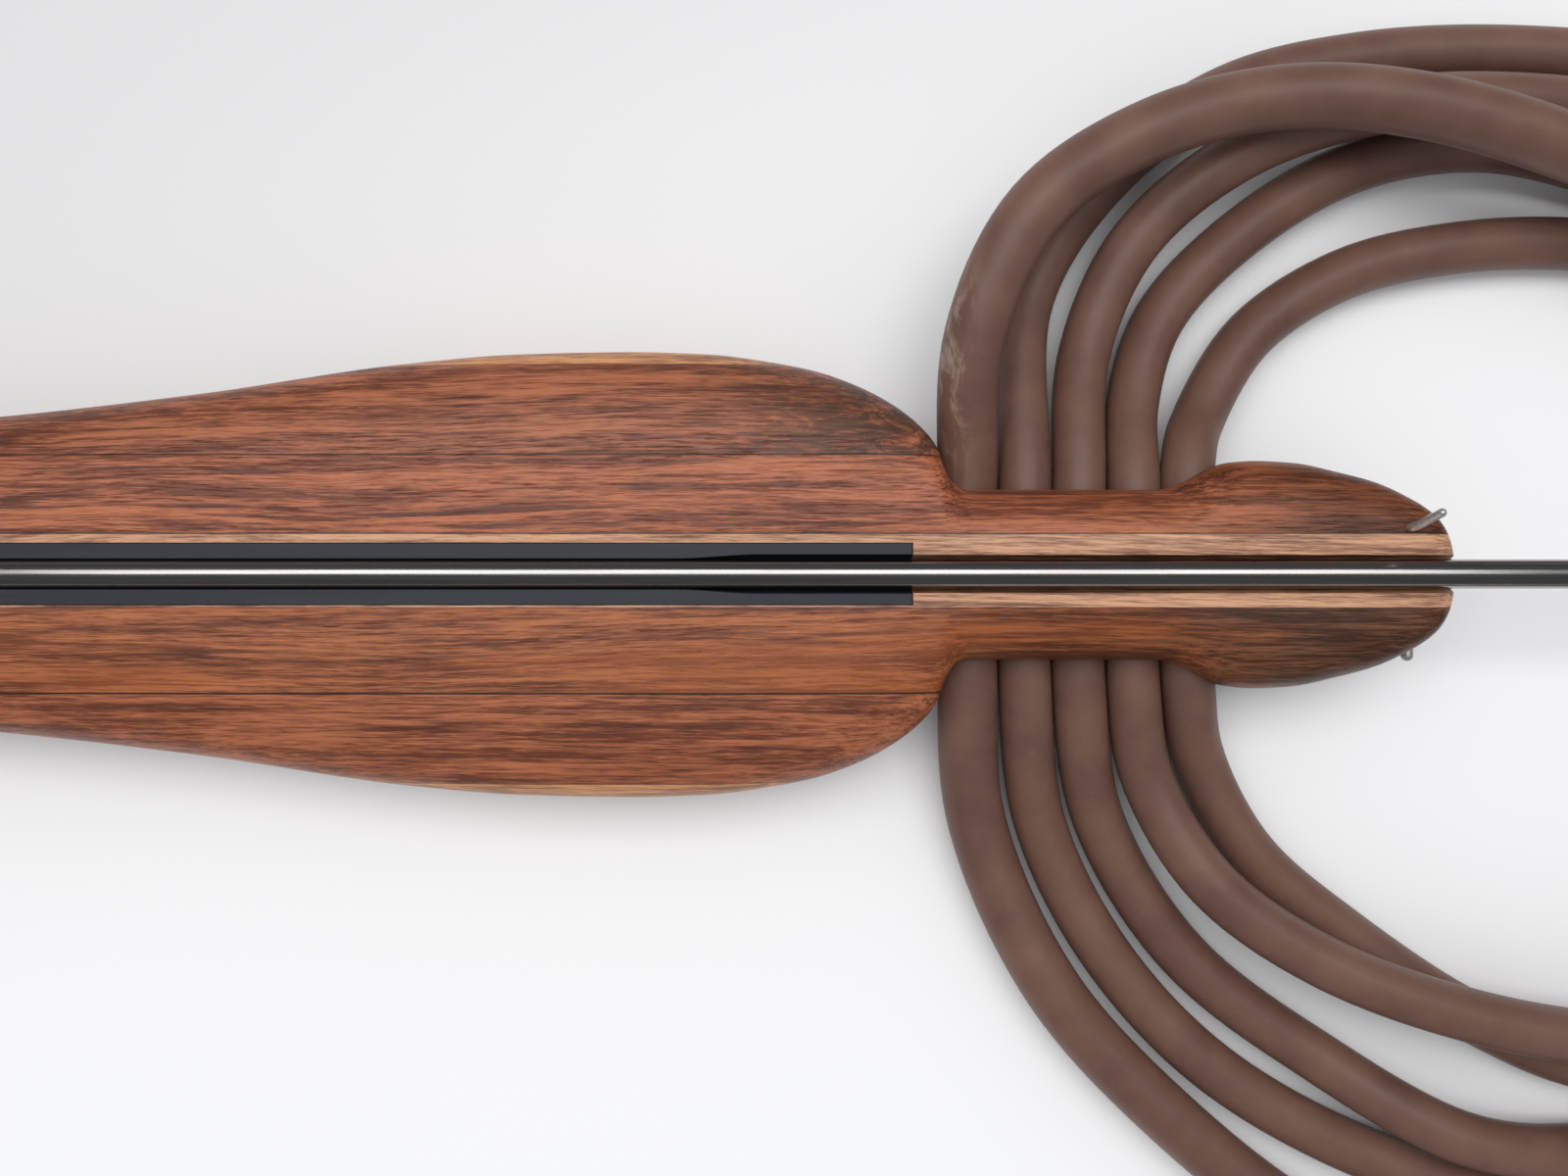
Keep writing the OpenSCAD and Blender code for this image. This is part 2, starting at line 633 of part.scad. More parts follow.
// A rectangle with round corners on the XZ plane
module round_box(x0, x1, z0, z1, r) {
  translate([x0 + r, z0]) square([x1 - x0 - 2 * r, z1 - z0]);
  translate([x0, z0 + r]) square([x1 - x0, z1 - z0 - 2 * r]);
  for (x = [x0 + r, x1 - r], z = [z0 + r, z1 - r]) translate([x, z]) circle(r);
}
module trigger_guard() {
  low = belly_relief - guard_deep;
  flange_z = belly_relief - guard_t;
  color("#2b2b2b") difference() {
    union() {
      translate([0, guard_w / 2, 0]) rotate([90, 0, 0]) linear_extrude(guard_w) difference() {
        round_box(guard_rear, guard_front, low, 30, 16);
        round_box(guard_rear + guard_t, guard_front - guard_t, low + guard_t, 40, 13.6);
        translate([guard_rear - past, belly_relief]) square([200, 100]);
      }
      translate([guard_front - guard_t, -guard_w / 2, flange_z]) cube([16, guard_w, guard_t]);
      translate([guard_rear, -guard_w / 2, flange_z]) cube([17, guard_w, guard_t]);
    }
    for (x = guard_screw_x)
      translate([x, 0, flange_z - past]) cylinder(r = guard_screw_r + pin_gap, h = 20);
  }
}
module guard_screws() {
  color("silver") for (x = guard_screw_x) {
    translate([x, 0, belly_relief - guard_t - 1.6]) cylinder(r = 2 * guard_screw_r, h = 1.6);
    translate([x, 0, belly_relief - guard_t - 1]) cylinder(r = guard_screw_r, h = 9);
  }
}

module butt_pad() {
  w = outline[0][1];
  low = outline[0][2];
  color("#1c1c1c") difference() {
    translate([stock_end - butt_t, 0, 0]) rotate([90, 0, 90]) linear_extrude(butt_t)
      polygon([for (p = section([0, w, low, stock_h])) [p[1], p[2]]]);
    for (z = butt_screw_z) {
      long_pin(stock_end - butt_t - past, stock_end + past, butt_screw_r + pin_gap, 0, z);
      long_pin(stock_end - butt_t - past, stock_end - butt_t + 3, 4.2, 0, z);
    }
  }
}
module butt_screws() {
  head = stock_end - butt_t + 0.6;
  color("silver") for (z = butt_screw_z) {
    long_pin(head, stock_end + 22, butt_screw_r, 0, z);
    long_pin(head, head + 2.4, 2 * butt_screw_r, 0, z);
  }
}

module band(k) { color("#5e463b") tube(band_routes[k], band_r[k], 12, [0, 1, 0]); }
module wishbone(k) { color("#d8d4c8") tube(wishbone_route(k), wishbone_d / 2, 8, [0, -1, 0]); }
module band_ties() {
  color("#2a2a2a") for (route = band_routes, side = [-1, 1])
    let (end = route[0])
      cross_pin(end[0], end[2], tie_d / 2, tie_length, side * (end[1] - tie_length / 2));
}

core_board();
rear_core();
muzzle_core();
inner_board_left();
inner_board_right();
muzzle_cheek_left();
muzzle_cheek_right();
wing_board_left();
wing_board_right();
edge_strip_left();
edge_strip_right();
track_insert();
line_hook_left();
line_pin_right();
spear_shaft();
loading_tabs();
flopper_barb();
flopper_rivet();
mech_housing();
housing_pins();
sear();
sear_pin();
sear_spring();
trigger();
trigger_pin();
trigger_spring();
line_release_lever();
line_release_pin();
grip_frame();
grip_scale_left();
grip_scale_right();
grip_screws();
grip_bolts();
trigger_guard();
guard_screws();
butt_pad();
butt_screws();
band(0);  // band_1
band(1);  // band_2
band(2);  // band_3
band(3);  // band_4
band(4);  // band_5
wishbone(0);  // wishbone_1
wishbone(1);  // wishbone_2
wishbone(2);  // wishbone_3
wishbone(3);  // wishbone_4
wishbone(4);  // wishbone_5
band_ties();
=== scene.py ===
"""Looks of the laminated wooden speargun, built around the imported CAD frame."""

import math

import bmesh
import bpy
import numpy as np
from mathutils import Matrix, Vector


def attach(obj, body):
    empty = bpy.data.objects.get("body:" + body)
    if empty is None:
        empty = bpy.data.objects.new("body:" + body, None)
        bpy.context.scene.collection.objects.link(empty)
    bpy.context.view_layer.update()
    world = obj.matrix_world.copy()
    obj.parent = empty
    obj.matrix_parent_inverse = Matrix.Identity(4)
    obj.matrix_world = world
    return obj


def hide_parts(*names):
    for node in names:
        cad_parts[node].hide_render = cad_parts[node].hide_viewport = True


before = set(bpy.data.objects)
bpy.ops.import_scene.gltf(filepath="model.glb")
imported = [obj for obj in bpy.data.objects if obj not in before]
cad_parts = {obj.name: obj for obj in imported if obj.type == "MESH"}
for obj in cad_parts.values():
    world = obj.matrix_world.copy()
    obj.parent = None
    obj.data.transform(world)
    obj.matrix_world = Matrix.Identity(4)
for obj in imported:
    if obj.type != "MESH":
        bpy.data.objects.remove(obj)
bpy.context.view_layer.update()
MM = 0.001


# ---------------------------------------------------------------- small helpers
def metres(points):
    """Points in millimetres as vectors in metres."""
    return [Vector(p) * MM for p in points]


def new_object(name, mesh, material, body="stock"):
    """A piece of the object that rides on a body."""
    piece = bpy.data.objects.new(name, mesh)
    bpy.context.scene.collection.objects.link(piece)
    piece.data.materials.append(material)
    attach(piece, body)
    return piece


def shade(mesh, angle=35):
    """Smooth shading that keeps edges sharper than the angle, in degrees."""
    for polygon in mesh.polygons:
        polygon.use_smooth = True
    mesh.set_sharp_from_angle(angle=math.radians(angle))


def mesh_from(bm, name, angle=35):
    bmesh.ops.recalc_face_normals(bm, faces=bm.faces)
    mesh = bpy.data.meshes.new(name)
    bm.to_mesh(mesh)
    bm.free()
    shade(mesh, angle)
    return mesh


def applied(piece):
    """Replaces a piece's mesh by the result of its modifiers."""
    graph = bpy.context.evaluated_depsgraph_get()
    mesh = bpy.data.meshes.new_from_object(piece.evaluated_get(graph))
    piece.modifiers.clear()
    piece.data = mesh
    return piece


def smooth_route(points, step=0.004):
    """A dense line through the points, by a centripetal spline."""
    p = np.array(points, float)
    p = np.vstack([2 * p[0] - p[1], p, 2 * p[-1] - p[-2]])
    line = []
    for k in range(1, len(p) - 2):
        a, b, c, d = p[k - 1:k + 3]
        t = [0.0]
        for u, v in ((a, b), (b, c), (c, d)):
            t.append(t[-1] + math.sqrt(np.linalg.norm(v - u)))
        count = max(2, round(np.linalg.norm(c - b) / step))
        for s in np.linspace(t[1], t[2], count, endpoint=False):
            ab = (a * (t[1] - s) + b * (s - t[0])) / (t[1] - t[0])
            bc = (b * (t[2] - s) + c * (s - t[1])) / (t[2] - t[1])
            cd = (c * (t[3] - s) + d * (s - t[2])) / (t[3] - t[2])
            abc = (ab * (t[2] - s) + bc * (s - t[0])) / (t[2] - t[0])
            bcd = (bc * (t[3] - s) + cd * (s - t[1])) / (t[3] - t[1])
            line.append((abc * (t[2] - s) + bcd * (s - t[1])) / (t[2] - t[1]))
    line.append(p[-2])
    return np.array(line)


# ---------------------------------------------------------------- camera
CAMERA_HEIGHT = 0.390
camera = bpy.data.objects.new("camera", bpy.data.cameras.new("camera"))
camera.data.lens = 29.0
camera.data.sensor_width = 36.0
camera.location = (0.043, -0.0038, CAMERA_HEIGHT)
bpy.context.scene.collection.objects.link(camera)
bpy.context.scene.camera = camera


# ---------------------------------------------------------------- materials
class Nodes:
    """A short way to write a node material."""

    def __init__(self, name):
        self.material = bpy.data.materials.new(name)
        self.material.use_nodes = True
        self.tree = self.material.node_tree
        self.shader = self.tree.nodes["Principled BSDF"]
        self.place = self.add("ShaderNodeTexCoord").outputs["Object"]

    def add(self, kind, **settings):
        node = self.tree.nodes.new(kind)
        for key, value in settings.items():
            setattr(node, key, value)
        return node

    def link(self, source, target):
        if hasattr(source, "is_output"):
            self.tree.links.new(source, target)
        else:
            target.default_value = source

    def scaled(self, scale, offset=(0, 0, 0), source=None):
        node = self.add("ShaderNodeMapping")
        self.link(source or self.place, node.inputs["Vector"])
        node.inputs["Scale"].default_value = scale
        node.inputs["Location"].default_value = offset
        return node.outputs["Vector"]

    def noise(self, vector, scale=1.0, detail=6.0, rough=0.55, distortion=0.0):
        node = self.add("ShaderNodeTexNoise")
        self.link(vector, node.inputs["Vector"])
        node.inputs["Scale"].default_value = scale
        node.inputs["Detail"].default_value = detail
        node.inputs["Roughness"].default_value = rough
        node.inputs["Distortion"].default_value = distortion
        return node.outputs["Fac"]

    def math(self, operation, a, b=0.0, c=None, clamp=False):
        node = self.add("ShaderNodeMath", operation=operation, use_clamp=clamp)
        self.link(a, node.inputs[0])
        self.link(b, node.inputs[1])
        if c is not None:
            self.link(c, node.inputs[2])
        return node.outputs[0]

    def spread(self, value, low, high, to_low=0.0, to_high=1.0):
        """The value's range low to high, smoothly, as to_low to to_high."""
        node = self.add("ShaderNodeMapRange", interpolation_type="SMOOTHSTEP")
        self.link(value, node.inputs["Value"])
        for socket, number in zip(("From Min", "From Max", "To Min", "To Max"),
                                  (low, high, to_low, to_high)):
            node.inputs[socket].default_value = number
        return node.outputs["Result"]

    def mix(self, share, a, b, blend="MIX"):
        node = self.add("ShaderNodeMix", data_type="RGBA", blend_type=blend)
        self.link(share, node.inputs[0])
        self.link(a, node.inputs[6])
        self.link(b, node.inputs[7])
        return node.outputs[2]

    def ramp(self, value, stops):
        node = self.add("ShaderNodeValToRGB")
        self.link(value, node.inputs["Fac"])
        while len(node.color_ramp.elements) < len(stops):
            node.color_ramp.elements.new(0.5)
        for element, (position, colour) in zip(node.color_ramp.elements, stops):
            element.position = position
            element.color = (*colour, 1)
        return node.outputs["Color"]

    def bump(self, height, distance, strength=1.0, normal=None):
        node = self.add("ShaderNodeBump")
        self.link(height, node.inputs["Height"])
        node.inputs["Distance"].default_value = distance
        node.inputs["Strength"].default_value = strength
        if normal is not None:
            self.link(normal, node.inputs["Normal"])
        return node.outputs["Normal"]

    def axes(self):
        node = self.add("ShaderNodeSeparateXYZ")
        self.link(self.place, node.inputs[0])
        return node.outputs

    def finish(self, colour, rough, normal=None, **sockets):
        self.link(colour, self.shader.inputs["Base Color"])
        self.link(rough, self.shader.inputs["Roughness"])
        if normal is not None:
            self.link(normal, self.shader.inputs["Normal"])
        for name, value in sockets.items():
            self.shader.inputs[name.replace("_", " ")].default_value = value
        return self.material


# The dark lines where boards meet: distance from the centre line and half width in
# millimetres, and depth of colour
GLUE_LINES = ((11.0, 0.19, 0.8), (-9.1, 0.13, 0.5), (32.5, 0.24, 0.85), (-32.5, 0.27, 0.95),
              (58.2, 0.12, 0.4), (-58.2, 0.12, 0.45))
GLUE_COLOUR = (0.018, 0.009, 0.006, 1)
# Colour of the dark burl figure, which also stands in for painted shade on the left wing's front
# flank
BURL_AND_SHADE_COLOUR = (0.050, 0.026, 0.017, 1)
# The summed noises of the wood lie round the middle, within the reach
TONE_MIDDLE, TONE_REACH = 1.275, 0.215


def tinted(colour, factors):
    return tuple(c * k for c, k in zip(colour, factors))


def wood(name, mean, seed, streaks=0.6, front=None, burl_and_shade=0.0, orange=0.0, contrast=1.0):
    """Oiled hardwood: drifting tones, purple-brown smears, short dark dashes and glue lines."""
    n = Nodes(name)
    x, y, _ = n.axes()
    shift = (seed * 1.7, seed * 0.31, seed * 0.53)
    bend = n.noise(n.scaled((4.0, 16, 14), shift), detail=2.0)
    lift = n.add("ShaderNodeCombineXYZ")
    n.link(n.math("MULTIPLY_ADD", bend, 0.012, -0.006), lift.inputs[1])
    warp = n.add("ShaderNodeVectorMath", operation="ADD")
    n.link(n.place, warp.inputs[0])
    n.link(lift.outputs[0], warp.inputs[1])
    place = warp.outputs[0]
    broad = n.noise(n.scaled((9, 190, 130), shift, place), detail=3.0)
    middle = n.noise(n.scaled((30, 900, 640), shift, place), detail=4.0, rough=0.65)
    fine = n.noise(n.scaled((120, 2300, 1600), shift, place), detail=2.0, rough=0.7)
    tone = n.math("MULTIPLY_ADD", broad, 0.8, n.math("MULTIPLY", fine, 0.75))
    tone = n.math("MULTIPLY_ADD", middle, 1.0, tone)
    reach = TONE_REACH / contrast
    tone = n.spread(tone, TONE_MIDDLE - reach, TONE_MIDDLE + reach)
    deep = tinted(mean, (0.47, 0.40, 0.38))
    light = tinted(mean, (1.50, 1.60, 1.55))
    colour = n.ramp(tone, [(0.0, deep), (0.5, mean), (1.0, light)])
    zones = n.spread(n.noise(n.scaled((13, 75, 60), shift), detail=2.0), 0.43, 0.58)
    long = n.noise(n.scaled((21, 520, 380), (shift[1], shift[0], 0), place), detail=4.0, rough=0.6)
    smear = n.math("MULTIPLY", n.spread(long, 0.53, 0.62), zones)
    smear_colour = tinted(mean, (0.27, 0.24, 0.33))
    colour = n.mix(n.math("MULTIPLY", smear, streaks), colour, (*smear_colour, 1))
    short = n.noise(n.scaled((95, 2100, 1500), (shift[2], 0, shift[0]), place),
                    detail=2.0, rough=0.6)
    dash = n.math("MULTIPLY", n.spread(short, 0.55, 0.62), n.spread(broad, 0.38, 0.60, 1.0, 0.2))
    colour = n.mix(n.math("MULTIPLY", dash, 0.9 * streaks), colour, (*smear_colour, 1))
    if orange:
        zone = n.spread(n.noise(n.scaled((9, 70, 30), (seed, 0, 0)), detail=1.5), 0.44, 0.60)
        warm = tinted(mean, (1.25, 1.05, 0.62))
        colour = n.mix(n.math("MULTIPLY", zone, orange), colour, (*warm, 1))
    # Dark patch on the left wing's front flank: partly burl figure, partly painted shade where the
    # top falls towards the neck.
    if burl_and_shade:
        cloud = n.noise(n.scaled((70, 190, 130), shift), detail=5.0, rough=0.7, distortion=1.2)
        near = n.math("MULTIPLY", n.spread(x, 0.006, 0.070), n.spread(y, 0.020, 0.036))
        share = n.math("MULTIPLY", near, n.spread(cloud, 0.34, 0.58))
        colour = n.mix(n.math("MULTIPLY", share, burl_and_shade), colour, BURL_AND_SHADE_COLOUR)
    # Painted shade: tints by place along the stock darken the neck and the head's front, with a
    # bluish cast on the right head.
    if front is not None:
        drift = n.noise(n.scaled((22, 240, 90), shift), detail=3.0)
        edge = n.math("MULTIPLY_ADD", drift, 0.10, x)
        for start, end, front_shade_tint in front:
            colour = n.mix(n.spread(edge, start, end), colour, (*front_shade_tint, 1), "MULTIPLY")
    for plane, half, depth in GLUE_LINES:
        gap = n.math("ABSOLUTE", n.math("SUBTRACT", y, plane * MM))
        line = n.spread(gap, 0.4 * half * MM, 1.6 * half * MM, depth, 0.0)
        colour = n.mix(line, colour, GLUE_COLOUR)
    rough = n.math("MULTIPLY_ADD", middle, 0.22, 0.30)
    pores = n.spread(short, 0.55, 0.68)
    height = n.math("MULTIPLY_ADD", pores, -0.9, n.math("MULTIPLY", fine, 0.7))
    normal = n.bump(height, 0.00016, 0.6)
    return n.finish(colour, rough, normal, Specular_IOR_Level=0.36)


def rubber(name, seed):
    """Satin brown latex tube with faint mottling, dust and a few pale scuffs."""
    n = Nodes(name)
    shift = (seed * 0.37, seed * 0.91, 0)
    mottle = n.noise(n.scaled((45, 45, 45), shift), detail=4.0)
    dust = n.noise(n.scaled((900, 900, 900), shift), detail=3.0, rough=0.7)
    colour = n.ramp(mottle, [(0.30, (0.120, 0.059, 0.043)), (0.70, (0.172, 0.090, 0.065))])
    scuff = n.noise(n.scaled((150, 60, 120), shift), detail=6.0, rough=0.72, distortion=0.6)
    scuffs = n.spread(scuff, 0.66, 0.76)
    x, _, z = n.axes()
    near = n.math("MULTIPLY", n.spread(x, 0.080, 0.100, 1.0, 0.0), n.spread(z, 0.025, 0.036))
    scuffs = n.math("MAXIMUM", n.math("MULTIPLY", scuffs, 0.30),
                    n.math("MULTIPLY", n.spread(scuff, 0.47, 0.60), near))
    colour = n.mix(scuffs, colour, (0.40, 0.30, 0.24, 1))
    dusty = n.math("MULTIPLY", n.spread(dust, 0.62, 0.74), 0.16)
    colour = n.mix(dusty, colour, (0.30, 0.22, 0.18, 1))
    rough = n.math("MULTIPLY_ADD", mottle, 0.10, 0.40)
    rough = n.math("MULTIPLY_ADD", scuffs, 0.18, rough)
    height = n.math("MULTIPLY_ADD", dust, 0.5, n.math("MULTIPLY", mottle, 0.5))
    return n.finish(colour, rough, n.bump(height, 0.00008, 0.5), Specular_IOR_Level=0.34)


def metal(name, colour, rough, along="x", scratch=0.25, seed=1.0, grooves=0.4, bare=1.0):
    """Drawn or ground steel with fine lines along its length."""
    n = Nodes(name)
    stretch = {"x": (20, 2200, 2200), "z": (2200, 2200, 20)}[along]
    lines = n.noise(n.scaled(stretch, (seed, seed, 0)), detail=3.0, rough=0.7)
    cloud = n.noise(n.scaled((25, 60, 60), (0, seed, seed)), detail=4.0)
    dim = tuple(0.62 * c for c in colour)
    shown = n.mix(n.math("MULTIPLY", n.spread(lines, 0.35, 0.70), 0.6), (*dim, 1), (*colour, 1))
    shown = n.mix(n.math("MULTIPLY", n.spread(cloud, 0.5, 0.8), 0.25), shown, (*dim, 1))
    roughness = n.math("MULTIPLY_ADD", lines, scratch, rough - 0.4 * scratch)
    return n.finish(shown, roughness, n.bump(lines, 0.00002, grooves), Metallic=bare)


def plastic(name, colour, rough, grain=900, depth=0.00006, sheen_streak=0.0):
    """Moulded or machined plastic with a fine grain and faint handling marks."""
    n = Nodes(name)
    fine = n.noise(n.scaled((grain, grain, grain)), detail=3.0, rough=0.6)
    marks = n.noise(n.scaled((24, 300, 200), (3, 1, 2)), detail=5.0, rough=0.7)
    lighter = tuple(min(1, c * 1.9 + 0.012) for c in colour)
    shown = n.mix(n.math("MULTIPLY", n.spread(marks, 0.45, 0.8), 0.45), (*colour, 1), (*lighter, 1))
    roughness = n.math("MULTIPLY_ADD", marks, 0.18 + sheen_streak, rough)
    return n.finish(shown, roughness, n.bump(fine, depth, 0.5), Specular_IOR_Level=0.5)


def fibre(name, colour, scale=1500):
    """Braided or wound cord."""
    n = Nodes(name)
    wave = n.add("ShaderNodeTexWave", wave_type="BANDS", bands_direction="DIAGONAL")
    n.link(n.scaled((scale, scale, scale)), wave.inputs["Vector"])
    wave.inputs["Scale"].default_value = 1.0
    wave.inputs["Distortion"].default_value = 2.5
    strands = wave.outputs["Fac"]
    dark = tuple(0.45 * c for c in colour)
    shown = n.mix(strands, (*dark, 1), (*colour, 1))
    return n.finish(shown, 0.75, n.bump(strands, 0.0002, 0.8), Sheen_Weight=0.25)


CORE_WOOD = wood("core_wood", (0.392, 0.197, 0.116), 3.1, streaks=0.4, contrast=0.95)
# The inner boards' front tints are painted shade towards the neck and head.
INNER_LEFT = wood("inner_wood_left", (0.290, 0.085, 0.038), 7.3, streaks=0.8,
                  front=[(0.135, 0.170, (0.90, 0.87, 0.75)), (0.195, 0.250, (0.50, 0.51, 0.50))])
INNER_RIGHT = wood("inner_wood_right", (0.266, 0.079, 0.029), 12.9, streaks=0.65, orange=0.45,
                   front=[(0.125, 0.165, (0.72, 0.66, 0.52)), (0.190, 0.240, (0.55, 0.78, 1.25))])
# The left wing's dark burl patch is partly painted shade on its front flank.
WING_LEFT = wood("wing_wood_left", (0.257, 0.079, 0.036), 21.7, streaks=0.8, burl_and_shade=0.9)
WING_RIGHT = wood("wing_wood_right", (0.270, 0.080, 0.034), 30.3, streaks=0.7)
EDGE_WOOD = wood("edge_wood", (0.42, 0.185, 0.078), 41.9, streaks=0.35, contrast=0.8)
GRIP_WOOD = wood("grip_wood", (0.190, 0.066, 0.036), 55.1, streaks=0.7)
BAND_RUBBER = [rubber(f"band_rubber_{k + 1}", 3.0 + 5.3 * k) for k in range(5)]
SHAFT_STEEL = metal("shaft_steel", (0.47, 0.45, 0.44), 0.19, scratch=0.03, grooves=0.05)
STAINLESS = metal("stainless", (0.72, 0.70, 0.67), 0.24, along="z", scratch=0.2, bare=0.75)
HOOK_STEEL = metal("hook_steel", (0.80, 0.785, 0.76), 0.28, along="z", scratch=0.1, bare=0.72)
PLATE_STEEL = metal("plate_steel", (0.60, 0.59, 0.57), 0.33, scratch=0.3, seed=4.0, bare=0.68)
SPRING_STEEL = metal("spring_wire", (0.50, 0.46, 0.40), 0.3, along="z", seed=9.0)
TRACK_PLASTIC = plastic("track_acetal", (0.014, 0.017, 0.026), 0.42, sheen_streak=0.06)
BLACK_PLASTIC = plastic("black_nylon", (0.022, 0.022, 0.024), 0.42, depth=0.00012)
BUTT_RUBBER = plastic("butt_rubber", (0.018, 0.018, 0.018), 0.62, grain=700, depth=0.0002)
CORD_FIBRE = fibre("braided_cord", (0.66, 0.63, 0.55))
TIE_FIBRE = fibre("waxed_whipping", (0.05, 0.048, 0.045))


# ---------------------------------------------------------------- bands
THICK_BAND, THIN_BAND = 17.5 * MM, 15.5 * MM
BAND_DIAMETERS = (THICK_BAND, THIN_BAND, THIN_BAND, THIN_BAND, THIN_BAND)
TUBE_END_SHARE = 0.9
# Each band from its left end, through the slot, to its right end, in millimetres
BAND_ROUTES = [
    [[392, 24, 24.5], [378, 58, 25.5], [350, 84, 27], [316, 99, 30], [266, 118, 37],
     [222, 130, 39], [184, 133, 38], [146, 124, 38], [113, 102, 38], [97, 68, 34],
     [96.4, 26, 21.6], [96.4, -26, 21.6], [101, -74, 10], [123, -123, 9], [158, -162, 9],
     [204, -197, 9], [260, -218, 9], [318, -214, 10], [371, -193, 19], [404, -153, 27],
     [411, -106, 28], [403, -62, 27.5], [392, -24, 24.5]],
    [[452, 24, 8], [442, 66, 8], [412, 104, 8], [368, 134, 8], [316, 152, 8],
     [264, 158, 8], [216, 156, 8], [176, 146, 8], [141, 121, 8], [117, 84, 8],
     [113.3, 26, 20.6], [113.3, -30, 20.6], [120, -74, 9], [140, -114, 8], [173, -149, 8],
     [222, -176, 8], [276, -190, 8], [332, -188, 8], [383, -164, 8], [424, -126, 8],
     [446, -76, 8], [452, -24, 8]],
    [[432, 24, 8], [422, 62, 8], [394, 94, 8], [354, 118, 9], [308, 133, 16],
     [262, 138, 21.5], [219, 137, 21], [178, 124, 19], [148, 100, 14], [133, 67, 12],
     [129.2, 26, 20.6], [129.2, -33, 20.6], [138, -74, 9], [163, -114, 8], [202, -144, 9],
     [246, -167, 17], [294, -172, 10], [344, -162, 8], [386, -138, 8], [414, -102, 8],
     [428, -62, 8], [432, -24, 8]],
    [[412, 24, 8], [402, 56, 8], [374, 84, 8], [338, 106, 8], [296, 121, 8],
     [254, 130, 8], [214, 123, 8], [178, 101, 8], [156, 77, 8], [147, 50, 12],
     [145.1, 26, 20.6], [145.1, -34, 20.6], [151, -61, 15.5], [168, -90, 20], [199, -112, 23],
     [244, -128, 25], [290, -135, 24], [334, -131, 24], [374, -109, 25], [401, -76, 11],
     [410, -44, 8], [412, -24, 8]],
    [[392, 24, 8], [382, 50, 8], [356, 76, 8], [322, 94, 8], [284, 100, 8],
     [246, 99, 8], [212, 91, 8], [184, 73, 8], [167, 47, 12], [161, 32, 20.6],
     [161, -32, 20.6], [168, -56, 10], [184, -84, 8], [212, -108, 8], [250, -133, 8],
     [288, -148, 8], [328, -144, 8], [358, -119, 8], [378, -84, 8], [390, -50, 8],
     [392, -24, 8]]
]


def tube_mesh(name, line, radius, sides=28, ends_along=None):
    """A closed tube around a dense line, a little narrower at its two ends."""
    line = np.array(line, float)
    bm = bmesh.new()
    rings = []
    last = len(line) - 1
    up = np.array((0.0, 0.0, 1.0))
    for k, point in enumerate(line):
        along = line[min(k + 1, last)] - line[max(k - 1, 0)]
        if k in (0, last) and ends_along is not None:
            along = np.array(ends_along, float)
        along = along / np.linalg.norm(along)
        side = np.cross(along, up)
        side /= np.linalg.norm(side)
        over = np.cross(side, along)
        size = radius * (TUBE_END_SHARE if k in (0, last) else 1.0)
        turns = [2 * math.pi * (j + 0.5) / sides for j in range(sides)]
        rings.append([
            bm.verts.new(point + size * (math.cos(a) * side + math.sin(a) * over))
            for a in turns
        ])
    for a, b in zip(rings, rings[1:]):
        for j in range(sides):
            bm.faces.new((a[j], a[(j + 1) % sides], b[(j + 1) % sides], b[j]))
    bm.faces.new(rings[0][::-1])
    bm.faces.new(rings[-1])
    return mesh_from(bm, name, 50)


WHIPPING_LENGTH = 6 * MM
WISHBONE_RADIUS = 1.25 * MM
# Half of a wishbone: millimetres forward, inward and up from its whipping
WISHBONE_SAG = ((0, 0, 0), (2, 5, -2), (6, 12, -5.5))
WISHBONE_MIDDLE = (7, -6.4)


def wishbone_route(x, y, z):
    """The drooping cord between the whippings at y and -y."""
    half = [(x + a * MM, y - b * MM, z + c * MM) for a, b, c in WISHBONE_SAG]
    forward, up = WISHBONE_MIDDLE
    middle = (x + forward * MM, 0, z + up * MM)
    return half + [middle] + [(px, -py, pz) for px, py, pz in reversed(half)]


for k, route in enumerate(BAND_ROUTES):
    x, y, z = (c * MM for c in route[0])
    line = smooth_route(wishbone_route(x, y - WHIPPING_LENGTH, z), 0.001)
    mesh = tube_mesh(f"wishbone_cord_{k + 1}", line, WISHBONE_RADIUS, 12, (0, -1, 0))
    piece = new_object(f"wishbone_cord_{k + 1}", mesh, CORD_FIBRE)
    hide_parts(f"wishbone_{k + 1}")


WHIPPING_CORE, WHIPPING_CORD = 4.3 * MM, 0.6 * MM


def whipping_mesh(name, x, z, y0, y1):
    """A few close turns of cord wound round a band's end, along Y."""
    bm = bmesh.new()
    turns, sides = 4, 40
    steps = turns * 8
    pitch = (y1 - y0) / turns
    rings = []
    for k in range(steps + 1):
        y = y0 + (y1 - y0) * k / steps
        radius = WHIPPING_CORE + WHIPPING_CORD * abs(math.sin(math.pi * (y - y0) / pitch))
        rings.append([
            bm.verts.new((x + radius * math.cos(a), y, z + radius * math.sin(a)))
            for a in (2 * math.pi * j / sides for j in range(sides))
        ])
    for a, b in zip(rings, rings[1:]):
        for j in range(sides):
            bm.faces.new((a[j], a[(j + 1) % sides], b[(j + 1) % sides], b[j]))
    bm.faces.new(rings[0][::-1])
    bm.faces.new(rings[-1])
    return mesh_from(bm, name, 60)


for k, route in enumerate(BAND_ROUTES):
    for side, label in ((1, "left"), (-1, "right")):
        x, y, z = (c * MM for c in route[0])
        low, high = sorted((side * (y - WHIPPING_LENGTH), side * y))
        mesh = whipping_mesh(f"whipping_{k + 1}_{label}", x, z, low, high)
        piece = new_object(f"whipping_{k + 1}_{label}", mesh, TIE_FIBRE)
        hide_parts("band_ties")

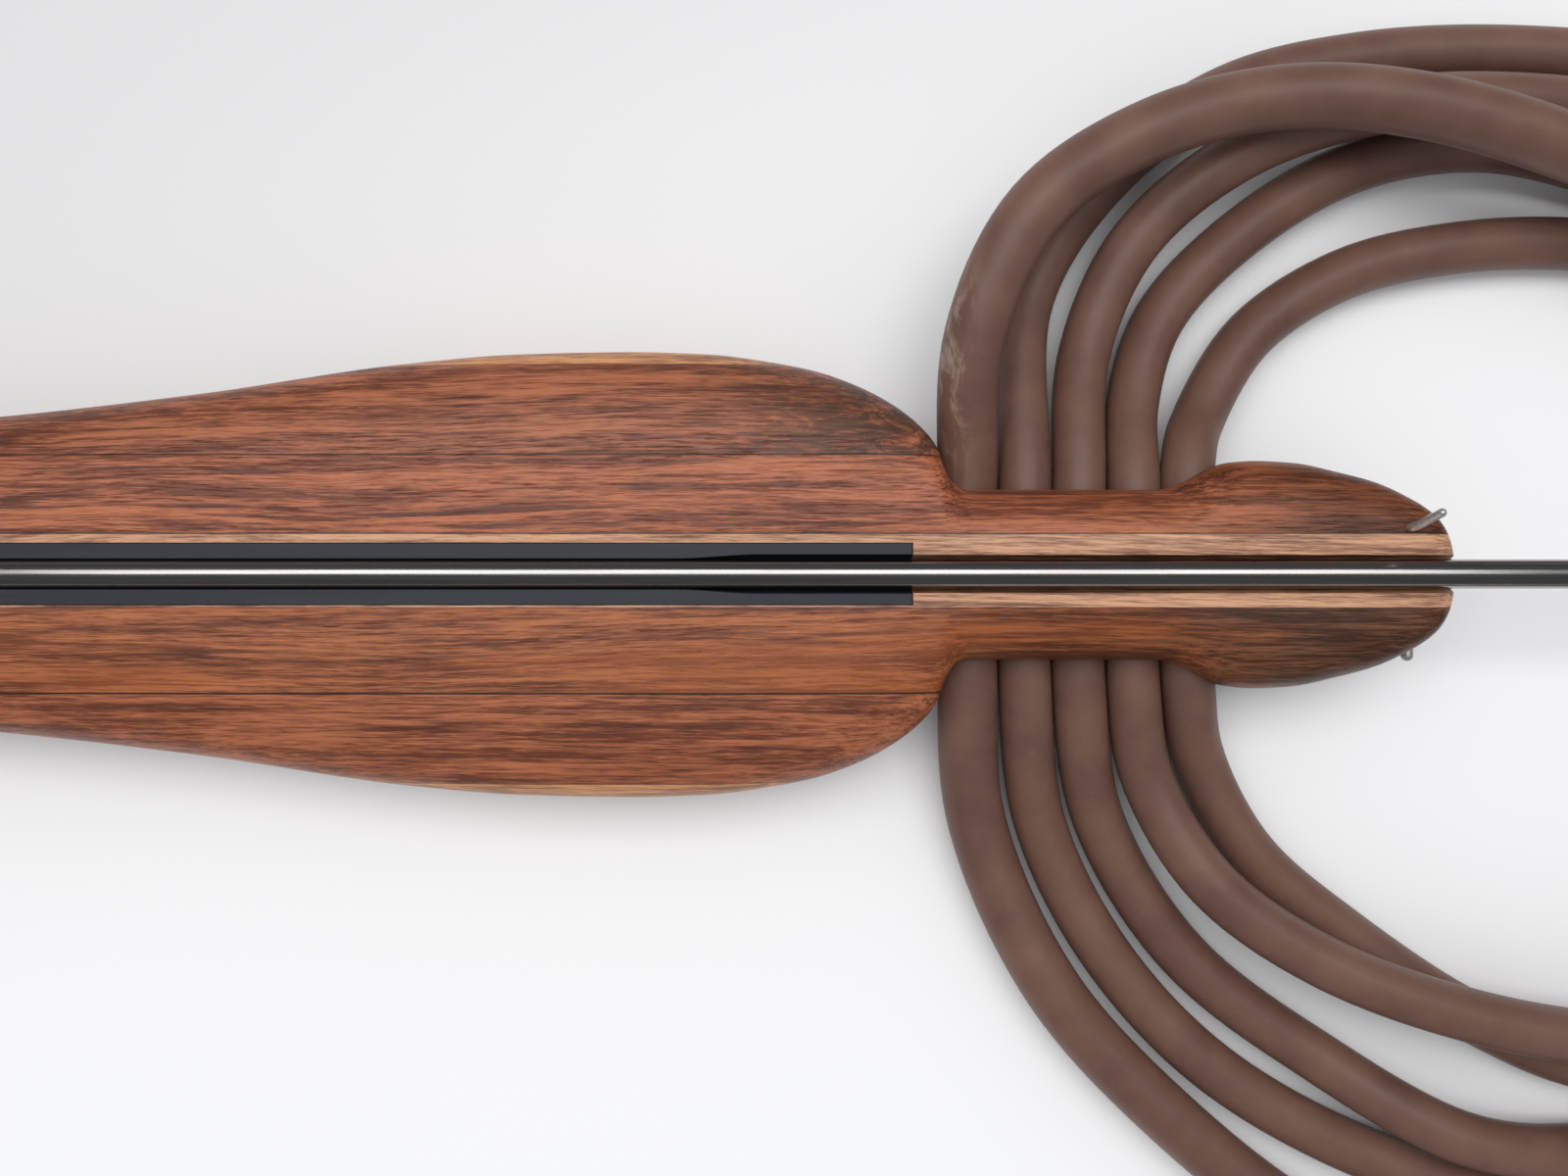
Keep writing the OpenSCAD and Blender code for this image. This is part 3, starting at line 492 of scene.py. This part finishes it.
for k, route in enumerate(BAND_ROUTES):
    line = smooth_route(metres(route))
    mesh = tube_mesh(f"rubber_band_{k + 1}", line, BAND_DIAMETERS[k] / 2, 32, (0, 1, 0))
    piece = new_object(f"rubber_band_{k + 1}", mesh, BAND_RUBBER[k])
    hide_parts(f"band_{k + 1}")


# ---------------------------------------------------------------- stock
STOCK_H = 48.0
REAR_HALF, WING_HALF, NECK_HALF, HEAD_HALF = 19.0, 63.4, 24.2, 32.4
MUZZLE, STOCK_REAR = 226.0, 1125.0
SHAFT_Z, SHAFT_R = 46.5, 4.0
TRACK_HALF, TRACK_FLOOR, TRACK_FRONT = 8.5, 39.0, 78
MECH_FRONT, MECH_REAR = -836, -906
BELLY_RELIEF = 4.0
SECTION_POWER = 3.6
CORE_LEFT, CORE_RIGHT, INNER_HALF, WING_BOARD_HALF = 11.0, -9.1, 32.5, 58.2
# Along the stock, in millimetres: place, half width, belly and top
OUTLINE = [
    (-STOCK_REAR, REAR_HALF - 2, BELLY_RELIEF, STOCK_H),
    (-STOCK_REAR + 30, REAR_HALF, BELLY_RELIEF, STOCK_H),
    (-850, REAR_HALF, BELLY_RELIEF, STOCK_H), (-815, REAR_HALF + 0.6, BELLY_RELIEF, STOCK_H),
    (-780, REAR_HALF + 1, 0, STOCK_H), (-600, REAR_HALF + 4, 0, STOCK_H),
    (-400, REAR_HALF + 12, 0, STOCK_H), (-250, WING_HALF * 0.63, 0, STOCK_H),
    (-185, WING_HALF * 0.70, 0, STOCK_H), (-123, WING_HALF * 0.81, 0, STOCK_H),
    (-62, WING_HALF * 0.95, 0, STOCK_H), (-31, WING_HALF * 0.99, 0, STOCK_H),
    (0, WING_HALF, 0, STOCK_H), (21, WING_HALF * 0.99, 0, STOCK_H),
    (40, WING_HALF * 0.952, 0, STOCK_H), (52, WING_HALF * 0.913, 0, STOCK_H),
    (64, WING_HALF * 0.845, 0, STOCK_H), (74, WING_HALF * 0.76, 0, STOCK_H),
    (81, WING_HALF * 0.672, 0, STOCK_H), (86, WING_HALF * 0.57, 0, STOCK_H),
    (88, NECK_HALF + 6, 0, STOCK_H), (91, NECK_HALF + 1.5, 0, STOCK_H),
    (95, NECK_HALF, 0, STOCK_H), (148, NECK_HALF, 0, STOCK_H),
    (156, NECK_HALF + 2, 0, STOCK_H), (163, NECK_HALF + 5.6, 0, STOCK_H),
    (169, HEAD_HALF - 0.5, 0, STOCK_H), (176, HEAD_HALF, 0, STOCK_H),
    (186, HEAD_HALF - 0.5, 0, STOCK_H), (198, HEAD_HALF - 3.1, 2, STOCK_H),
    (MUZZLE - 18, HEAD_HALF - 6.1, 6, STOCK_H), (MUZZLE - 10, HEAD_HALF - 10.2, 10, STOCK_H),
    (MUZZLE - 4, HEAD_HALF - 14.6, 15, STOCK_H - 0.6),
    (MUZZLE - 1, HEAD_HALF - 18.9, 20, STOCK_H - 2),
    (MUZZLE, HEAD_HALF - 22.2, 24, STOCK_H - 3),
]


def gentle(xs, ys, at):
    """Smooth curve through the points that never swings past them (monotone cubic)."""
    steps, rises = np.diff(xs), np.diff(ys)
    slopes = rises / steps
    lean = np.zeros(len(xs))
    for k in range(1, len(xs) - 1):
        a, b = slopes[k - 1], slopes[k]
        if a * b > 0:
            w1, w2 = 2 * steps[k] + steps[k - 1], steps[k] + 2 * steps[k - 1]
            lean[k] = (w1 + w2) / (w1 / a + w2 / b)
    lean[0], lean[-1] = slopes[0], slopes[-1]
    k = np.clip(np.searchsorted(xs, at) - 1, 0, len(xs) - 2)
    t = (at - xs[k]) / steps[k]
    return ((2 * t**3 - 3 * t**2 + 1) * ys[k] + (t**3 - 2 * t**2 + t) * steps[k] * lean[k]
            + (3 * t**2 - 2 * t**3) * ys[k + 1] + (t**3 - t**2) * steps[k] * lean[k + 1])


def stock_sections(around):
    """Cross-sections of the whole stock, closer together where the outline turns."""
    table = np.array(OUTLINE, float)
    stations = np.unique(np.concatenate([
        np.arange(-STOCK_REAR, -260, 12), np.arange(-260, 60, 4), np.arange(60, 100, 1.0),
        np.arange(100, 145, 3), np.arange(145, 200, 1.5), np.arange(200, MUZZLE, 0.7),
        np.array([-STOCK_REAR, MUZZLE]),
    ]))
    share = math.cos(math.radians(180 / 28)) ** (2 / SECTION_POWER)
    for x in stations:
        half, low, top = (gentle(table[:, 0], table[:, c], x) for c in (1, 2, 3))
        ring = []
        for j in range(around):
            a = 2 * math.pi * (j + 0.5) / around
            cos, sin = math.cos(a), math.sin(a)
            y = half * math.copysign(abs(cos) ** (2 / SECTION_POWER), cos)
            z = math.copysign(min(1, abs(sin) ** (2 / SECTION_POWER) / share), sin)
            ring.append((x * MM, y * MM, ((low + top) / 2 + (top - low) / 2 * z) * MM))
        yield ring


def stock_bmesh(around=96):
    bm = bmesh.new()
    rings = [[bm.verts.new(p) for p in ring] for ring in stock_sections(around)]
    for a, b in zip(rings, rings[1:]):
        for j in range(around):
            bm.faces.new((a[j], a[(j + 1) % around], b[(j + 1) % around], b[j]))
    bm.faces.new(rings[0][::-1])
    bm.faces.new(rings[-1])
    return bm


def board_mesh(name, y0, y1):
    """The stock between two glue planes, in millimetres from the centre line."""
    bm = stock_bmesh()
    for y, outward in ((y0, -1), (y1, 1)):
        if abs(y) > WING_HALF:
            continue
        everything = bm.verts[:] + bm.edges[:] + bm.faces[:]
        cut = bmesh.ops.bisect_plane(
            bm, geom=everything, plane_co=(0, y * MM, 0), plane_no=(0, outward, 0),
            clear_outer=True, dist=1e-7)
        rim = [e for e in cut["geom_cut"] if isinstance(e, bmesh.types.BMEdge)]
        bmesh.ops.holes_fill(bm, edges=rim, sides=0)
    return mesh_from(bm, name, 40)


def cutter(name, bm):
    """A solid to cut with, which its user deletes after the cut."""
    mesh = mesh_from(bm, name)
    tool = bpy.data.objects.new(name, mesh)
    bpy.context.scene.collection.objects.link(tool)
    return tool


def box_bmesh(x0, x1, y0, y1, z0, z1):
    bm = bmesh.new()
    bmesh.ops.create_cube(bm, size=1.0)
    for v in bm.verts:
        v.co = Vector((x0 + (v.co.x + 0.5) * (x1 - x0), y0 + (v.co.y + 0.5) * (y1 - y0),
                       z0 + (v.co.z + 0.5) * (z1 - z0))) * MM
    return bm


# The stock's cuts, in millimetres: x0, x1, y0, y1, z0, z1
BAND_SLOT, BAND_SLOT_ROUND = (87.35, 169.05, -80, 80, 12.6, 30.4), 5.5
ABOVE = 60.0
INSERT_BOX = (-890, TRACK_FRONT, -TRACK_HALF, TRACK_HALF, TRACK_FLOOR, ABOVE)
POCKET_BOX = (MECH_REAR - 0.2, MECH_FRONT + 0.2, -7.2, 7.2, 11.8, ABOVE)
TRIGGER_SLOT_BOX = (-880, -842, -3.1, 3.1, -5, 14)
OPEN_GROOVE = (70, 260, 5.2)


def slot_cutter():
    """The opening that the bands pass through, with rounded corners."""
    bm = box_bmesh(*BAND_SLOT)
    edges = [e for e in bm.edges if abs((e.verts[0].co - e.verts[1].co).normalized().y) > 0.9]
    bmesh.ops.bevel(bm, geom=edges, offset=BAND_SLOT_ROUND * MM, segments=8, profile=0.5,
                    affect="EDGES")
    return cutter("slot_tool", bm)


def groove_cutter(x0, x1, radius, name):
    """A channel with a round bottom, open at the top."""
    bm = bmesh.new()
    profile = [(radius * math.cos(a), SHAFT_Z + radius * math.sin(a))
               for a in (math.radians(180 + 7.5 * k) for k in range(25))]
    profile += [(radius, ABOVE), (-radius, ABOVE)]
    rings = [[bm.verts.new((x * MM, y * MM, z * MM)) for y, z in profile] for x in (x0, x1)]
    count = len(profile)
    rear, front = rings
    for j in range(count):
        bm.faces.new((rear[j], rear[(j + 1) % count], front[(j + 1) % count], front[j]))
    bm.faces.new(rear[::-1])
    bm.faces.new(front)
    return cutter(name, bm)


def carve(piece, tools):
    for tool in tools:
        step = piece.modifiers.new(tool.name, "BOOLEAN")
        step.operation = "DIFFERENCE"
        step.solver = "EXACT"
        step.object = tool
    applied(piece)
    shade(piece.data, 40)


def stock():
    """Every board from the whole stock, with its cuts; the wide planes lie beyond the wood."""
    beyond = 99
    slot = slot_cutter()
    core_tools = [
        slot,
        cutter("insert_tool", box_bmesh(*INSERT_BOX)),
        groove_cutter(*OPEN_GROOVE, "open_groove_tool"),
        cutter("pocket_tool", box_bmesh(*POCKET_BOX)),
        cutter("trigger_slot_tool", box_bmesh(*TRIGGER_SLOT_BOX)),
    ]
    boards = [
        ("core_lamination", ["core_board", "rear_core", "muzzle_core"], "core_wood",
         CORE_RIGHT, CORE_LEFT, CORE_WOOD, core_tools),
        ("inner_lamination_left", ["inner_board_left", "muzzle_cheek_left"], "red_wood",
         CORE_LEFT, INNER_HALF, INNER_LEFT, [slot]),
        ("inner_lamination_right", ["inner_board_right", "muzzle_cheek_right"], "red_wood",
         -INNER_HALF, CORE_RIGHT, INNER_RIGHT, [slot]),
        ("wing_lamination_left", ["wing_board_left"], "dark_wood",
         INNER_HALF, WING_BOARD_HALF, WING_LEFT, [slot]),
        ("wing_lamination_right", ["wing_board_right"], "dark_wood",
         -WING_BOARD_HALF, -INNER_HALF, WING_RIGHT, [slot]),
        ("edge_lamination_left", ["edge_strip_left"], "edge_wood", WING_BOARD_HALF, beyond,
         EDGE_WOOD, []),
        ("edge_lamination_right", ["edge_strip_right"], "edge_wood", -beyond, -WING_BOARD_HALF,
         EDGE_WOOD, []),
    ]
    for name, nodes, slot_name, y0, y1, material, tools in boards:
        piece = new_object(name, board_mesh(name, y0, y1), material)
        carve(piece, tools)
        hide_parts(*nodes)
    for tool in core_tools:
        bpy.data.objects.remove(tool)


stock()


# ---------------------------------------------------------------- track, shaft and hook
NOTCH_BOX = (-871.5, -860, -6, 6, 40, 45.6)
BARB_SLOT_BOX = (469, 494, -1.1, 1.1, 43.5, 53)
# Along the shaft, in millimetres: place and radius
SHAFT_PROFILE = [(-876, 3.2), (-875.2, SHAFT_R), (503, SHAFT_R), (505, 3.85),
                 (524, 1.15), (529, 0.45), (530, 0.1)]


def track_mesh(x0, x1):
    """The plastic track: a round groove that widens smoothly towards the front."""
    bm = bmesh.new()
    half, low, top, edge = TRACK_HALF, TRACK_FLOOR, STOCK_H, 0.3
    stations = [x0, x0 + 0.4, 12] + [14 + 2 * k for k in range(13)] + [x1 - 0.4, x1]
    rings = []
    for x in stations:
        t = min(1.0, max(0.0, (x - 14) / 22))
        groove = 4.1 + 1.1 * t * t * (3 - 2 * t)
        trim = edge if x in (x0, x1) else 0.0
        ring = [(-half + trim, low), (half - trim, low), (half - trim, top - edge - trim),
                (half - edge - trim, top - trim), (groove + 0.2 + trim, top - trim),
                (groove + trim, top - 0.25 - trim)]
        ring += [(groove * math.cos(a), SHAFT_Z - groove * math.sin(a))
                 for a in (math.pi * k / 28 for k in range(29))]
        ring += [(-groove - trim, top - 0.25 - trim), (-groove - 0.2 - trim, top - trim),
                 (-half + edge + trim, top - trim), (-half + trim, top - edge - trim)]
        rings.append([bm.verts.new((x * MM, y * MM, z * MM)) for y, z in ring])
    count = len(rings[0])
    for a, b in zip(rings, rings[1:]):
        for j in range(count):
            bm.faces.new((a[j], a[(j + 1) % count], b[(j + 1) % count], b[j]))
    bm.faces.new(rings[0][::-1])
    bm.faces.new(rings[-1])
    return mesh_from(bm, "track_channel", 30)


def turned_mesh(name, profile, sides=64):
    """A round bar along X on the shaft's centre line: (distance, radius) pairs."""
    bm = bmesh.new()
    rings = [[bm.verts.new((x * MM, r * math.cos(a) * MM, (SHAFT_Z + r * math.sin(a)) * MM))
              for a in (2 * math.pi * j / sides for j in range(sides))] for x, r in profile]
    for a, b in zip(rings, rings[1:]):
        for j in range(sides):
            bm.faces.new((a[j], a[(j + 1) % sides], b[(j + 1) % sides], b[j]))
    bm.faces.new(rings[0][::-1])
    bm.faces.new(rings[-1])
    return mesh_from(bm, name, 30)


def track_and_shaft():
    track = new_object("track_channel", track_mesh(MECH_FRONT + 1, TRACK_FRONT), TRACK_PLASTIC)
    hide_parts("track_insert")
    mesh = turned_mesh("shaft_rod", SHAFT_PROFILE)
    shaft = new_object("shaft_rod", mesh, SHAFT_STEEL, "spear")
    tools = [
        cutter("notch_tool", box_bmesh(*NOTCH_BOX)),
        cutter("barb_slot_tool", box_bmesh(*BARB_SLOT_BOX)),
    ]
    carve(shaft, tools)
    for tool in tools:
        bpy.data.objects.remove(tool)
    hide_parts("spear_shaft")


track_and_shaft()


def rounded_rod(name, line, radius, sides=24):
    """A round wire with domed ends."""
    start, end = (line[0] - line[1]).normalized(), (line[-1] - line[-2]).normalized()
    bm = bmesh.new()
    dome = [math.radians(10 * k) for k in range(9, -1, -1)]
    steps = [(math.sin(a), math.cos(a)) for a in dome]
    rings = [(line[0] + start * radius * (s - 1), radius * c) for s, c in steps]
    rings += [(p, radius) for p in line[1:-1]]
    rings += [(line[-1] + end * radius * (s - 1), radius * c) for s, c in reversed(steps)]
    across = start.orthogonal().normalized()
    loops = []
    for k, (centre, r) in enumerate(rings):
        low, high = rings[max(k - 1, 0)][0], rings[min(k + 1, len(rings) - 1)][0]
        along = (high - low).normalized()
        across = (across - along * across.dot(along)).normalized()
        over = along.cross(across)
        r = max(r, 1e-5)
        loops.append([bm.verts.new(centre + r * (math.cos(a) * across + math.sin(a) * over))
                      for a in (2 * math.pi * j / sides for j in range(sides))])
    for a, b in zip(loops, loops[1:]):
        for j in range(sides):
            bm.faces.new((a[j], a[(j + 1) % sides], b[(j + 1) % sides], b[j]))
    bm.faces.new(loops[0][::-1])
    bm.faces.new(loops[-1])
    return mesh_from(bm, name, 60)


def line_hook():
    """The bent wire that holds the shooting line, and leans out over the muzzle."""
    foot, low, knee, out, tip = (Vector(p) * MM for p in (
        (213, 12.6, 32.3), (213, 12.6, 46.4), (213, 12.6, 49.6), (214.0, 13.7, 52.2),
        (216.35, 16.4, 59.0)))
    bend = [low.lerp(knee, t).lerp(knee.lerp(out, t), t) for t in (k / 8 for k in range(9))]
    line = [foot, foot.lerp(low, 0.5)] + bend + [out.lerp(tip, 0.5), tip]
    hook = new_object("bent_hook", rounded_rod("bent_hook", line, 1.2 * MM), HOOK_STEEL)
    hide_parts("line_hook_left")


line_hook()


# ---------------------------------------------------------------- steel, grip and butt
def eased(name, node, material, width, body="stock", segments=2):
    """A copy of a CAD piece with its hard edges broken, by a bevel of the width in millimetres."""
    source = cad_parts[node]
    bpy.context.view_layer.update()
    bm = bmesh.new()
    bm.from_mesh(source.data)
    bm.transform(source.matrix_world)
    bmesh.ops.remove_doubles(bm, verts=bm.verts, dist=1e-6)
    bmesh.ops.dissolve_limit(bm, angle_limit=math.radians(1.5), verts=bm.verts, edges=bm.edges)
    mesh = bpy.data.meshes.new(name)
    bm.to_mesh(mesh)
    bm.free()
    piece = bpy.data.objects.new(name, mesh)
    bpy.context.scene.collection.objects.link(piece)
    bevel = piece.modifiers.new("edges", "BEVEL")
    bevel.width = width * MM
    bevel.segments = segments
    bevel.limit_method = "ANGLE"
    bevel.angle_limit = math.radians(32)
    bevel.harden_normals = True
    shade(mesh, 32)
    applied(piece)
    piece.data.name = name
    piece.data.materials.clear()
    piece.data.materials.append(material)
    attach(piece, body)
    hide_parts(node)


def rounded_plate(name, outline, inner, outer, inner_round, outer_round):
    """A plate along Y from inner to outer, with a smooth outline and rounded rims."""
    edge = smooth_route([(x, 0.0, z) for x, z in outline], 2.5)[:, [0, 2]]
    following = np.roll(edge, -1, axis=0) - np.roll(edge, 1, axis=0)
    inward = np.stack([-following[:, 1], following[:, 0]], axis=1)
    inward /= np.linalg.norm(inward, axis=1)[:, None]
    if np.dot(inward[len(edge) // 2], edge.mean(axis=0) - edge[len(edge) // 2]) < 0:
        inward = -inward
    sign = 1 if outer > inner else -1
    turns = [math.radians(15 * k) for k in range(7)]
    rims = [(inner_round * (1 - math.sin(a)), inner + sign * inner_round * (1 - math.cos(a)))
            for a in turns]
    rims += [(outer_round * (1 - math.cos(a)), outer - sign * outer_round * (1 - math.sin(a)))
             for a in turns]
    bm = bmesh.new()
    rings = [[bm.verts.new((x * MM, y * MM, z * MM)) for x, z in edge + inward * inset]
             for inset, y in rims]
    count = len(edge)
    for a, b in zip(rings, rings[1:]):
        for j in range(count):
            bm.faces.new((a[j], a[(j + 1) % count], b[(j + 1) % count], b[j]))
    bm.faces.new(rings[0][::-1])
    bm.faces.new(rings[-1])
    return mesh_from(bm, name, 40)


def palm_panel(name, outline, inner, outer, wide, deep):
    """A grip panel that domes towards the hand: its rings shrink towards its own midline."""
    edge = smooth_route([(x, 0.0, z) for x, z in outline], 2.5)[:, [0, 2]]
    turn = len(outline) // 2
    front, rear = np.array(outline[:turn][::-1]), np.array(outline[turn:])
    middle = (np.interp(edge[:, 1], front[:, 1], front[:, 0])
              + np.interp(edge[:, 1], rear[:, 1], rear[:, 0])) / 2
    half_wide, half_high = 22.0, 50.0
    centre_z = edge[:, 1].mean()
    sign = 1 if outer > inner else -1
    rims = [(0.5, inner), (0.0, inner + sign * 0.5)]
    rims += [(wide * (1 - math.cos(a)), outer - sign * deep * (1 - math.sin(a)))
             for a in (math.radians(11.25 * k) for k in range(9))]
    bm = bmesh.new()
    rings = []
    for inset, y in rims:
        x = middle + (edge[:, 0] - middle) * (1 - inset / half_wide)
        z = centre_z + (edge[:, 1] - centre_z) * (1 - inset / half_high)
        rings.append([bm.verts.new((px * MM, y * MM, pz * MM)) for px, pz in zip(x, z)])
    count = len(edge)
    for a, b in zip(rings, rings[1:]):
        for j in range(count):
            bm.faces.new((a[j], a[(j + 1) % count], b[(j + 1) % count], b[j]))
    bm.faces.new(rings[0][::-1])
    bm.faces.new(rings[-1])
    return mesh_from(bm, name, 50)


def grip():
    """The grip's plastic core and the two rounded wooden panels."""
    core = [(-1, BELLY_RELIEF), (-3, -8), (-12, -28), (-14, -52), (-21, -78), (-28, -104),
            (-35, -110), (-68, -112), (-76, -105), (-67, -80), (-58, -52), (-56, -26),
            (-64, -8), (-84, BELLY_RELIEF - 4), (-98, BELLY_RELIEF)]
    panel = [(-5, -10), (-13, -28), (-15, -52), (-22, -78), (-29, -103), (-36, -108),
             (-67, -110), (-73, -104), (-65, -80), (-56, -52), (-54, -26), (-61, -10)]
    core_half, panel_face = 5, 13.2
    wood_look, core_look = (GRIP_WOOD, "dark_wood"), (BLACK_PLASTIC, "black_plastic")
    for name, node, shape, outline, inner, outer, rims, (material, slot_name) in (
            ("grip_core", "grip_frame", rounded_plate, core, -core_half, core_half,
             (0.8, 0.8), core_look),
            ("grip_panel_left", "grip_scale_left", palm_panel, panel, core_half, panel_face,
             (9, 4.5), wood_look),
            ("grip_panel_right", "grip_scale_right", palm_panel, panel, -core_half, -panel_face,
             (9, 4.5), wood_look)):
        outline = [(MECH_REAR + x, z) for x, z in outline]
        mesh = shape(name, outline, inner, outer, *rims)
        piece = new_object(name, mesh, material)
        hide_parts(node)


grip()


def hardware():
    """The fittings that keep the CAD's shape."""
    eased("housing_box", "mech_housing", PLATE_STEEL, 0.5)
    eased("housing_pin_heads", "housing_pins", STAINLESS, 0.3)
    eased("sear_lever", "sear", PLATE_STEEL, 0.4, body="sear")
    eased("trigger_lever", "trigger", PLATE_STEEL, 1.3, body="trigger", segments=3)
    eased("release_lever", "line_release_lever", PLATE_STEEL, 0.7, body="line_release",
          segments=3)
    eased("release_pin_head", "line_release_pin", STAINLESS, 0.3)
    eased("barb_blade", "flopper_barb", PLATE_STEEL, 0.35, body="flopper")
    eased("barb_rivet", "flopper_rivet", STAINLESS, 0.2, body="spear")
    eased("shaft_tabs", "loading_tabs", SHAFT_STEEL, 0.5, "spear")
    eased("hook_pin", "line_pin_right", HOOK_STEEL, 0.2)
    eased("grip_screw_heads", "grip_screws", STAINLESS, 0.3)
    eased("grip_bolt_heads", "grip_bolts", STAINLESS, 0.4)
    eased("guard_bow", "trigger_guard", BLACK_PLASTIC, 0.8, segments=3)
    eased("guard_screw_heads", "guard_screws", STAINLESS, 0.3)
    eased("butt_cushion", "butt_pad", BUTT_RUBBER, 2.5, segments=4)
    eased("butt_screw_heads", "butt_screws", STAINLESS, 0.3)


hardware()

NODE_MATERIALS = {
    "sear_pin": STAINLESS, "sear_spring": SPRING_STEEL,
    "trigger_pin": STAINLESS, "trigger_spring": SPRING_STEEL,
}
for node, material in NODE_MATERIALS.items():
    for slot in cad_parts[node].material_slots:
        slot.material = material


# ---------------------------------------------------------------- surface and light
def floor_material():
    n = Nodes("white_table")
    x, y, _ = n.axes()
    cloud = n.noise(n.scaled((2.5, 2.5, 2.5)), detail=2.0)
    speck = n.noise(n.scaled((700, 700, 700)), detail=2.0)
    # Painted shade: the table is darker towards +Y and the gun's rear, for uneven lamp light.
    dim = n.spread(n.math("MULTIPLY_ADD", y, 0.8, n.math("MULTIPLY", x, -0.35)), -0.05, 0.22)
    colour = n.mix(dim, (0.855, 0.86, 0.865, 1), (0.665, 0.660, 0.664, 1))
    colour = n.mix(n.math("MULTIPLY", cloud, 0.05), colour, (0.70, 0.70, 0.71, 1))
    return n.finish(colour, 0.6, n.bump(speck, 0.00003, 0.3), Specular_IOR_Level=0.2)


def floor():
    """The white surface that the gun lies on."""
    bm = bmesh.new()
    corners = ((-0.815, -1.6), (1.9, -1.6), (1.9, 1.6), (-0.815, 1.6))
    bm.faces.new([bm.verts.new((x, y, 0)) for x, y in corners])
    mesh = bpy.data.meshes.new("table_top")
    bm.to_mesh(mesh)
    bm.free()
    top = bpy.data.objects.new("table_top", mesh)
    bpy.context.scene.collection.objects.link(top)
    mesh.materials.append(floor_material())


def area_light(name, place, target, size, power, colour):
    lamp = bpy.data.lights.new(name, "AREA")
    lamp.shape = "RECTANGLE"
    lamp.size, lamp.size_y = size
    lamp.energy = power
    lamp.color = colour
    light = bpy.data.objects.new(name, lamp)
    light.location = place
    light.rotation_euler = (Vector(target) - Vector(place)).to_track_quat("-Z", "Y").to_euler()
    bpy.context.scene.collection.objects.link(light)


def lights():
    """A broad soft lamp overhead, and a room that is dim where polished steel mirrors it."""
    world = bpy.data.worlds.new("room")
    world.use_nodes = True
    tree = world.node_tree
    background = tree.nodes["Background"]
    background.inputs["Color"].default_value = (0.95, 0.965, 1.0, 1)
    path = tree.nodes.new("ShaderNodeLightPath")
    strength = tree.nodes.new("ShaderNodeMapRange")
    strength.inputs["To Min"].default_value = 0.69
    strength.inputs["To Max"].default_value = 0.13
    tree.links.new(path.outputs["Is Glossy Ray"], strength.inputs["Value"])
    tree.links.new(strength.outputs["Result"], background.inputs["Strength"])
    bpy.context.scene.world = world
    area_light("soft_box", (0.0, 0.52, 1.9), (0.02, 0.0, 0), (2.6, 1.0), 26, (1.0, 0.985, 0.97))


floor()
lights()
bpy.context.scene.view_settings.view_transform = "Standard"
